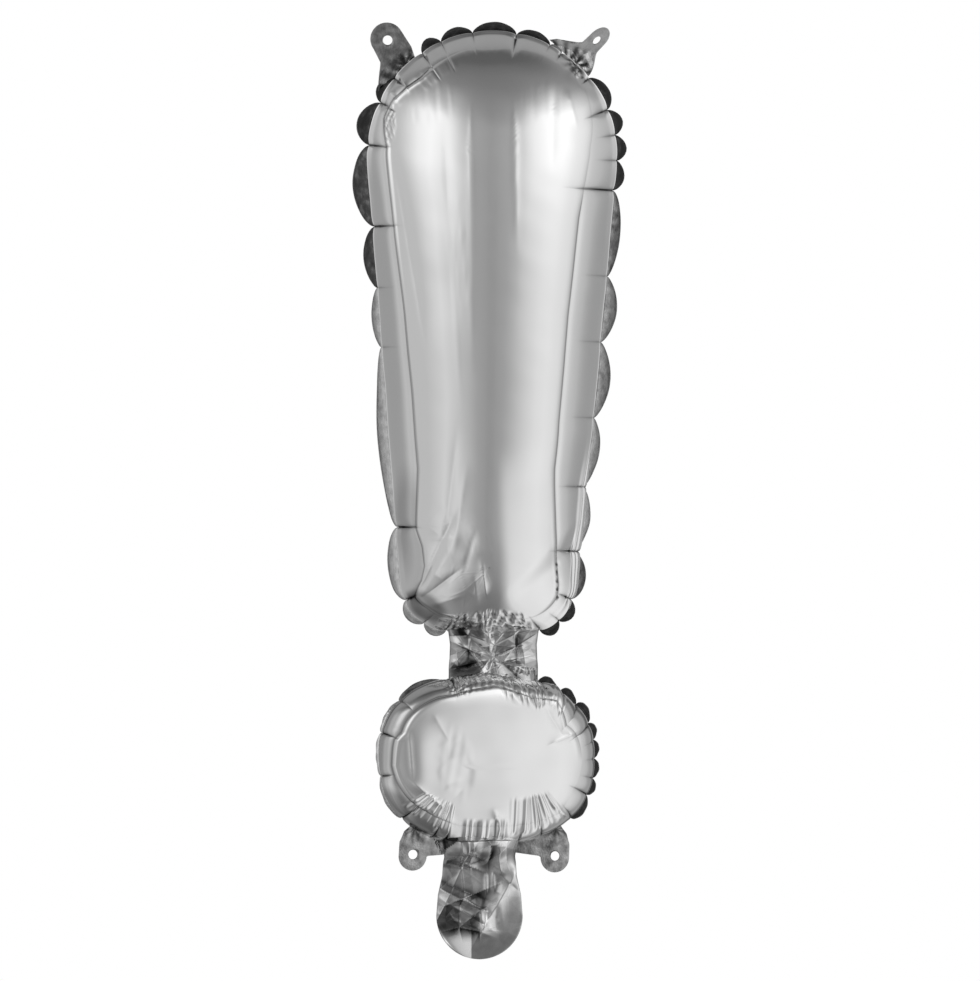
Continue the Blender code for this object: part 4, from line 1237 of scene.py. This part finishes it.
# %% [markdown]
# ## Crumpled tubes
#
# Between the bar and the dot, and below the dot, the film stays narrow, and the air in it
# can't smooth it out. Each of the two is a flattened loop of film, crumpled twice, with
# large facets and small ones on them, and a few straight folds drawn on top.

# %% Tube helpers
AROUND = 320
TUBE_ROUNDNESS = 0.7
FOLDS_ROUNDNESS = 0.5
# Strength of the painted shade in fold valleys.
VALLEY_SHADE = 0.5


def flat_tube(middle, half_width, z, thickness, front_folds, back_folds):
    """A flattened loop of film at each height: x = middle + w sin a, y = -t cos a + folds."""
    angle = np.linspace(0, 2 * math.pi, AROUND, endpoint=False)[:, None] + math.pi / 2
    x = middle + half_width * np.sin(angle)
    front = np.cos(angle) > 0
    flat = np.stack([x, np.broadcast_to(z, x.shape)], axis=-1)
    lift, dull_and_shade = [np.where(front, *pair) for pair in zip(front_folds(flat), back_folds(flat))]
    body = np.abs(np.cos(angle)) ** TUBE_ROUNDNESS * thickness
    body += lift * np.abs(np.cos(angle)) ** FOLDS_ROUNDNESS
    return np.stack([x, np.where(front, -body, body), flat[..., 1]], axis=-1), np.clip(dull_and_shade, 0, 1)


def two_crumples(flat, large, small, seed):
    """Large flat facets with small ones on them: spacing, height, painted shade and bead of each."""
    sheets = [crumpled(flat, *large[:2], seed, *large[2:]), crumpled(flat, *small[:2], seed + 1, *small[2:])]
    return [one + other for one, other in zip(*sheets)]


def drawn_folds(flat, rows):
    """The lift of straight folds, and the painted shade in their valleys."""
    lines = [fold_line(flat, *row) for row in rows]
    return sum(lines), sum(valley_shade(line, VALLEY_SHADE) for line in lines)


print("points round a tube:", AROUND)

# %% [markdown]
# ## The neck
#
# The folds of the neck run out from one point in its middle, so its facets are drawn out
# along rays from there. Both ends hide between the films of the bar and the dot. The neck
# crosses the fold between the two, so it bends there: above it rides on the bar, below it
# on the dot, and it turns with the dot on the way down.

# %% The neck's folds
NECK_ROWS = 130
NECK_TOP = -248.2
NECK_BOTTOM = -275.2
NECK_SHOWS = (-251.5, -271.5)
NECK_TURNS = (-262, -272)
NECK_WIDTHS = ([-276, -268, -262, -256, -250], [20.6, 19.2, 18.6, 18.4, 19.2])
NECK_THICKNESS = (1.8, 1.6, 1.4)
NECK_OFFSET = 0.2
NECK_STAR = (0.8, -260.9)
NECK_LARGE = (4.6, 0.75, 0.7, 0.24)
NECK_SMALL = (1.9, 0.13, 0.2, 0.06)
RAY_LENGTH = 7.0
NECK_FOLDS = [
    ((-2.0, -247.0), (-0.6, -262.0), 1.5, 1.1), ((-18.0, -254.0), (0.0, -262.5), 1.3, 1.5),
    ((-16.0, -247.0), (1.0, -262.0), -1.0, 1.4), ((-1.0, -261.0), (15.0, -256.0), 1.4, 1.4),
    ((0.0, -262.0), (18.0, -266.0), 1.2, 1.4), ((10.5, -250.0), (10.0, -266.0), -1.2, 1.0),
    ((-19.0, -266.5), (-2.0, -262.0), -1.2, 1.5), ((-12.0, -274.0), (0.0, -261.0), 1.1, 1.3),
    ((1.0, -262.0), (1.0, -276.0), 1.2, 1.1), ((2.0, -262.0), (14.0, -274.0), -1.0, 1.4),
    ((-9.0, -252.0), (-11.0, -268.0), -0.9, 1.2), ((-15.5, -257.0), (-13.5, -270.0), 1.1, 2.6),
    ((12.5, -255.0), (14.5, -268.0), 1.1, 2.6),
]


def radial(flat, centre):
    """How far each point moves so that facets are drawn out along rays from a centre."""
    apart = flat - np.array(centre)
    distance = np.hypot(apart[..., 0], apart[..., 1])[..., None]
    return apart * ((1 + distance / RAY_LENGTH) ** -0.5 - 1)


def tucked(flat):
    """0 at both ends of the neck, where it hides between the films, and 1 between them."""
    above_foot = smooth_step(NECK_BOTTOM, NECK_SHOWS[1], flat[..., 1])
    return above_foot * (1 - smooth_step(NECK_SHOWS[0], NECK_TOP, flat[..., 1]))


def neck_front_folds(flat):
    """Crumples drawn out along rays, plus straight folds, and their painted shade."""
    lift, dull_and_shade = two_crumples(flat + radial(flat, NECK_STAR), NECK_LARGE, NECK_SMALL, 81)
    lines, tone = drawn_folds(flat, NECK_FOLDS)
    return (lift + lines) * tucked(flat), dull_and_shade + tone


def neck_back_folds(flat):
    """Plain crumples, and their painted shade."""
    lift, dull_and_shade = two_crumples(flat, NECK_LARGE, NECK_SMALL, 85)
    return lift * tucked(flat), dull_and_shade


print("neck:", len(NECK_FOLDS), "straight folds")

# %% The neck's film
neck_z = np.linspace(NECK_TOP, NECK_BOTTOM, NECK_ROWS)
neck_share = (neck_z - NECK_BOTTOM) / (NECK_TOP - NECK_BOTTOM)
neck_thick = NECK_THICKNESS[0] + NECK_THICKNESS[1] * np.sin(2 * math.pi * neck_share) ** 2
neck_thick += NECK_THICKNESS[2] * np.sin(math.pi * neck_share)
neck_half = np.interp(neck_z, *NECK_WIDTHS)
neck, neck_painted_shade = flat_tube(
    NECK_X + NECK_OFFSET, neck_half, neck_z, neck_thick, neck_front_folds, neck_back_folds)
neck = dot.in_space(neck, smooth_step(*NECK_TURNS, neck[..., 2]))
neck_piece = closed_piece(
    "neck_foil", neck, (NECK_X, 0, NECK_STAR[1]), CRUMPLED, {"dull_and_shade": neck_painted_shade}, open_start=False)
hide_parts("neck_upper_web", "neck_lower_web")
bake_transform(neck_piece)

# %% [markdown]
# ## The tail
#
# The tail is the filling valve: a narrow throat, then a flat tongue with a round end. One
# broad bright band runs down it from the right, a wide fold with painted shade on the
# tail beside it, and V folds lead into it from the left. The end is turned back a little.
# The tail bends below the throat.

# %% The tail's sizes and folds
TAIL_ROWS = 175
TAIL_TOP = -336.0
TAIL_END = -389.4
TAIL_WIDE = -371.0
TAIL_WIDTHS = ([-371, -362, -354, -346, -336], [18.3, 17.6, 15.8, 15.3, 17.5])
TAIL_BLUNTNESS = 0.0004
TAIL_THINNEST = 0.5
TAIL_THICKER = [(6.8, -352, -339), (0.7, -380, -352), (-5.0, -339, TAIL_TOP)]
TAIL_TURNS = (-351, -343)
TAIL_LARGE = (9.5, 1.0, 0.95, 0.14)
TAIL_SMALL = (3.6, 0.10, 0.14, 0.0)
TAIL_CALM = (-383, -376)
TAIL_SMOOTH = ((8.5, -364.0), (7.0, 24.0), -0.1)
TAIL_END_FADE = (-383, -374)
TAIL_END_LEAN = 0.3
TAIL_END_FOLD = -8.8
# Painted shade: on the end right of its fold, over the tail beside the bright band, and in the throat.
TAIL_END_SHADE = 0.5
TAIL_SHADE = 0.26
TAIL_SHADE_FADE = (-340, -350)
THROAT_SHADOW = ((-3.5, -344.0), (4.0, 13.0))
THROAT_SHADE = 0.4
TAIL_BAND = ((19.0, -338.0), (-12.0, -390.0), 1.7, 4.2)
TAIL_FOLDS = [
    ((-33.0, -354.5), (6.0, -373.0), 1.4, 1.6), ((-28.0, -360.0), (5.0, -380.0), 1.6, 2.3),
    ((-33.0, -366.0), (4.0, -381.0), 1.2, 1.6), ((-28.0, -353.5), (2.0, -366.0), -0.9, 1.5),
    ((-2.6, -367.0), (-3.4, -378.0), 0.7, 0.8),
    ((-16.5, -337.0), (-13.0, -353.0), 1.1, 1.3), ((-11.0, -337.0), (-9.0, -354.0), 0.8, 1.1),
    ((0.5, -340.0), (4.5, -355.0), 1.7, 3.2), ((10.5, -339.0), (9.5, -354.0), -0.7, 1.2),
    ((-16.0, -347.0), (-1.5, -353.0), 0.8, 0.7), ((-2.6, -351.5), (-2.4, -363.0), 0.9, 0.8),
    ((0.4, -351.5), (0.8, -362.0), 0.9, 0.8), ((3.0, -353.0), (12.0, -361.0), -0.8, 1.5),
]
print("tail:", len(TAIL_FOLDS), "straight folds")

# %% The tail's marks


def tail_crumples(flat, seed):
    """The crumples and their painted shade, fading into the flat round end and the smooth band on the right.
    """
    calm = smooth_step(*TAIL_CALM, flat[..., 1]) * (1 - 0.85 * patch(flat, *TAIL_SMOOTH))
    lift, dull_and_shade = two_crumples(flat, TAIL_LARGE, TAIL_SMALL, seed)
    return lift * calm, dull_and_shade * calm


def tail_lean(flat):
    """Left of the fold in its round end, the film turns back: slope * distance from the fold."""
    end = 1 - smooth_step(*TAIL_END_FADE, flat[..., 1])
    return TAIL_END_LEAN * np.minimum(flat[..., 0] - TAIL_END_FOLD, 0) * end, end


def tail_front_folds(flat):
    """Crumples + straight folds + the lean of the end, and painted shade: in valleys, beside the bright band,
    right of the end's fold and in the throat.
    """
    lift, dull_and_shade = tail_crumples(flat, 91)
    lines, tone = drawn_folds(flat, TAIL_FOLDS + [TAIL_BAND])
    lean, end = tail_lean(flat)
    band = smooth_step(0.3, 0.9, fold_line(flat, *TAIL_BAND))
    # Painted shade over the tail, left out on the bright band and the round end, and on the end right of its
    # fold.
    tone += TAIL_SHADE * (1 - end) * (1 - band) * smooth_step(*TAIL_SHADE_FADE, flat[..., 1])
    tone += TAIL_END_SHADE * end * smooth_step(TAIL_END_FOLD - 0.2, TAIL_END_FOLD + 0.2, flat[..., 0])
    return lift + lines + lean, dull_and_shade + tone + THROAT_SHADE * patch(flat, *THROAT_SHADOW)


def tail_back_folds(flat):
    """Crumples - the lean of the end, as the back looks the other way."""
    lift, dull_and_shade = tail_crumples(flat, 95)
    return lift - tail_lean(flat)[0], dull_and_shade


print("tail:", abs(round(TAIL_TOP - TAIL_END)), "mm long with its throat")

# %% The tail's film
tail_z = TAIL_TOP + (TAIL_END - TAIL_TOP) * np.sin(np.linspace(0, math.pi / 2, TAIL_ROWS)) ** 0.9
tail_round = np.clip((TAIL_WIDE - tail_z) / (TAIL_WIDE - TAIL_END), 0, 1)
tail_half = np.interp(tail_z, *TAIL_WIDTHS) * np.sqrt(np.maximum(1 - tail_round ** 2, TAIL_BLUNTNESS))
tail_thick = TAIL_THINNEST + sum(
    extra * smooth_step(low, high, tail_z) for extra, low, high in TAIL_THICKER)
tail, tail_painted_shade = flat_tube(TAIL_X, tail_half, tail_z, tail_thick, tail_front_folds, tail_back_folds)
tail = dot.in_space(tail, smooth_step(*TAIL_TURNS, tail[..., 2]))
tail_piece = closed_piece(
    "tail_foil", tail, (TAIL_X, 0, -360.0), CRUMPLED, {"dull_and_shade": tail_painted_shade}, open_start=False)
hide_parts("tail_throat", "tail_front_film", "tail_back_film")
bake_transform(tail_piece)

# %% [markdown]
# ## The studio
#
# A mirror shows its surroundings, so the studio is most of the picture. Two large soft
# boxes stand left and right of the camera with a darker gap between them, and a low light
# on the right fills in from below. The room goes dark behind the balloon, and a faint
# light fills its back. They could be lamps, but brightness by direction in the world's
# nodes gives softer edges and no noise. The camera itself sees plain white. The tables
# hold angles in degrees with the brightness there: round from the camera to the right, up
# from level, or away from the line to the camera.

# %% Brightness by direction
BACKDROP = (1.0, 1.0, 1.0, 1)
BASE_STOPS = [
    (-90, 0.15), (-60, 0.17), (-42, 0.21), (-22, 0.29), (0, 0.30), (29, 0.32), (34, 0.27), (40, 0.23),
    (46, 0.19), (53, 0.17), (58, 0.15), (63, 0.11), (71, 0.105), (74, 0.12), (78, 0.26), (90, 0.28),
]
WIDE_STOPS = [
    (-180, 0.0), (-120, 0.02), (-100, 0.06), (-80, 0.22), (-62, 0.22), (-50, 0.30), (-41, 0.36),
    (-30, 0.26), (-20, 0.16), (-12, 0.06), (0, 0.0), (12, 0.06), (18, 0.13), (27, 0.26), (33, 0.34),
    (42, 0.44), (52, 0.49), (64, 0.44), (78, 0.28), (92, 0.18), (107, 0.07), (125, 0.02), (180, 0.0),
]
WIDE_HEIGHT = [
    (-90, 0.2), (-60, 0.3), (-42, 0.55), (-28, 0.9), (-15, 1.0), (31, 1.0), (34.4, 0.75), (37.6, 0.5),
    (41.5, 0.2), (46, 0.13), (51, 0.08), (57, 0.0), (90, 0.0),
]
BOX_STOPS = [
    (-180, 0.0), (-66, 0.0), (-56, 0.5), (-50, 0.9), (-41, 1.0), (-30, 1.0), (-25, 0.7), (-20, 0.2),
    (-12, 0.02), (0, 0.0), (12, 0.02), (19, 0.2), (23, 0.8), (28, 1.0), (48, 1.0), (58, 0.4),
    (74, 0.1), (90, 0.0), (180, 0.0),
]
BOX_HEIGHT = [
    (-90, 0.0), (-4, 0.0), (8, 0.16), (17, 0.32), (31, 0.34), (34.4, 0.22), (37.6, 0.1), (46, 0.0),
    (90, 0.0),
]
LOW_STOPS = [
    (-180, 0.0), (10, 0.0), (22, 0.6), (30, 1.0), (60, 1.0), (80, 0.3), (100, 0.0), (180, 0.0),
]
LOW_HEIGHT = [
    (-90, 0.0), (-75, 0.25), (-55, 0.42), (-40, 0.30), (-25, 0.10), (-12, 0.02), (0, 0.0), (90, 0.0),
]
RING_STOPS = [
    (0, 0.0), (96, 0.33), (124, 0.33), (132, 0.16), (138, 0.10), (146, 0.12), (160, 0.4), (180, 0.5),
]
LIGHTS = [(WIDE_STOPS, WIDE_HEIGHT), (BOX_STOPS, BOX_HEIGHT), (LOW_STOPS, LOW_HEIGHT)]
RING_RISE = (25.0, 55.0)
RING_START = (92.0, 71.0)
RING_FADE = 14.0
print("stops in the lights:", sum(len(stops) for light in LIGHTS for stops in light))

# %% World


def build_world():
    """Room + each light across times its height, fading to the ring behind the balloon."""
    world = bpy.data.worlds.new("studio")
    bpy.context.scene.world = world
    world.use_nodes = True
    tree = world.node_tree
    tree.nodes.clear()
    ray = add_node(tree, "ShaderNodeTexCoord").outputs["Generated"]
    parts = add_node(tree, "ShaderNodeSeparateXYZ", {"Vector": ray}).outputs
    forward = add_math(tree, "MULTIPLY", parts["Y"], -1.0)
    azimuth = add_math(tree, "DEGREES", add_math(tree, "ARCTAN2", parts["X"], forward))
    elevation = add_math(tree, "DEGREES", add_math(tree, "ARCSINE", parts["Z"]))
    off_axis = add_math(tree, "DEGREES", add_math(tree, "ARCCOSINE", forward))
    room = add_ramp(tree, elevation, -90, 90, BASE_STOPS)
    for stops, height in LIGHTS:
        light = add_math(tree, "MULTIPLY", add_ramp(tree, azimuth, -180, 180, stops),
                         add_ramp(tree, elevation, -90, 90, height))
        room = add_math(tree, "ADD", room, light)
    ring = add_ramp(tree, off_axis, 0, 180, RING_STOPS)
    first = add_node(tree, "ShaderNodeMapRange", {
        "Value": elevation, "From Min": RING_RISE[0], "From Max": RING_RISE[1],
        "To Min": RING_START[0], "To Max": RING_START[1]}).outputs[0]
    behind = add_node(tree, "ShaderNodeMapRange", {
        "Value": add_math(tree, "SUBTRACT", off_axis, first), "From Min": 0.0, "From Max": RING_FADE})
    level = add_node(tree, "ShaderNodeMix", {0: behind.outputs[0], 2: room, 3: ring}).outputs[0]
    seen = add_node(tree, "ShaderNodeBackground", {"Color": BACKDROP})
    lit = add_node(tree, "ShaderNodeBackground", {"Color": (1, 1, 1, 1), "Strength": level})
    mirrored = add_node(tree, "ShaderNodeLightPath").outputs["Is Glossy Ray"]
    mix = add_node(tree, "ShaderNodeMixShader", {0: mirrored, 1: seen.outputs[0], 2: lit.outputs[0]})
    add_node(tree, "ShaderNodeOutputWorld", {"Surface": mix.outputs[0]})


build_world()
bpy.context.scene.view_settings.view_transform = "Standard"
print("world:", len(LIGHTS), "lights over a room of", len(BASE_STOPS), "stops")

# %% [markdown]
# ## Floor and lamp
#
# The pictures from the side and from above need a floor to stand over. It is pale, lies
# well below the balloon, and the foil doesn't mirror it. The white backdrop and one soft
# lamp above light it.

# %% Floor and lamp
FLOOR_Z = -0.56
FLOOR_RADIUS = 1.4
FLOOR_HOLE = 0.001
FLOOR_TURNS = 96
FLOOR_RINGS = 12
FLOOR_ROUGHNESS = 0.7
FLOOR_TONES = [(0.0, 0.84), (1.0, 0.90)]
CLOUDS_PER_METRE = 6.0
LAMP_POWER = 14.0
LAMP_SIZE = 1.6
LAMP_PLACE = (0.0, -0.3, 1.5)


def build_floor():
    """A flat disc below the balloon, as a ring grid with its middle closed."""
    angles = np.linspace(0, 2 * math.pi, FLOOR_TURNS, endpoint=False)
    radii = np.linspace(FLOOR_RADIUS, FLOOR_HOLE, FLOOR_RINGS)
    rim = np.stack([np.cos(angles), np.sin(angles)], axis=-1)
    flat = rim[:, None] * radii[None, :, None]
    points = np.concatenate([flat, np.full(flat.shape[:2] + (1,), FLOOR_Z)], axis=-1) / MM
    material = bpy.data.materials.new("pale floor")
    material.use_nodes = True
    tree = material.node_tree
    shader = tree.nodes["Principled BSDF"]
    shader.inputs["Roughness"].default_value = FLOOR_ROUGHNESS
    place = add_node(tree, "ShaderNodeTexCoord").outputs["Object"]
    cloud = add_node(tree, "ShaderNodeTexNoise", {"Vector": place, "Scale": CLOUDS_PER_METRE})
    colour = add_ramp(tree, cloud.outputs["Fac"], 0.0, 1.0, FLOOR_TONES)
    tree.links.new(colour, shader.inputs["Base Color"])
    floor = closed_piece("floor", points, (0, 0, FLOOR_Z / MM - 100), material)
    floor.visible_glossy = False


build_floor()
lamp = bpy.data.lights.new("soft lamp above", "AREA")
lamp.energy = LAMP_POWER
lamp.size = LAMP_SIZE
lamp_object = bpy.data.objects.new("soft lamp above", lamp)
lamp_object.location = LAMP_PLACE
lamp_object.visible_glossy = False
bpy.context.collection.objects.link(lamp_object)

# %% [markdown]
# ## The camera
#
# The picture was taken from far off, straight at the balloon's front, so a long lens
# stands 2.2 m away. The width that it must show is the picture's width in pixels times
# the size of a pixel on the balloon.

# %% Camera
PICTURE_WIDTH = 980
PIXEL = 0.4237
PICTURE_CENTRE = (-0.93, -190.8)
CAMERA_DISTANCE = 2.2
SENSOR = 36.0

camera_data = bpy.data.cameras.new("camera")
camera_data.sensor_fit = "HORIZONTAL"
camera_data.sensor_width = SENSOR
camera_data.lens = SENSOR * CAMERA_DISTANCE / (PICTURE_WIDTH * PIXEL * MM)
camera = bpy.data.objects.new("camera", camera_data)
camera.location = (PICTURE_CENTRE[0] * MM, -CAMERA_DISTANCE, PICTURE_CENTRE[1] * MM)
camera.rotation_euler = (math.pi / 2, 0, 0)
bpy.context.collection.objects.link(camera)
bpy.context.scene.camera = camera
print("lens", round(camera_data.lens, 1), "mm")
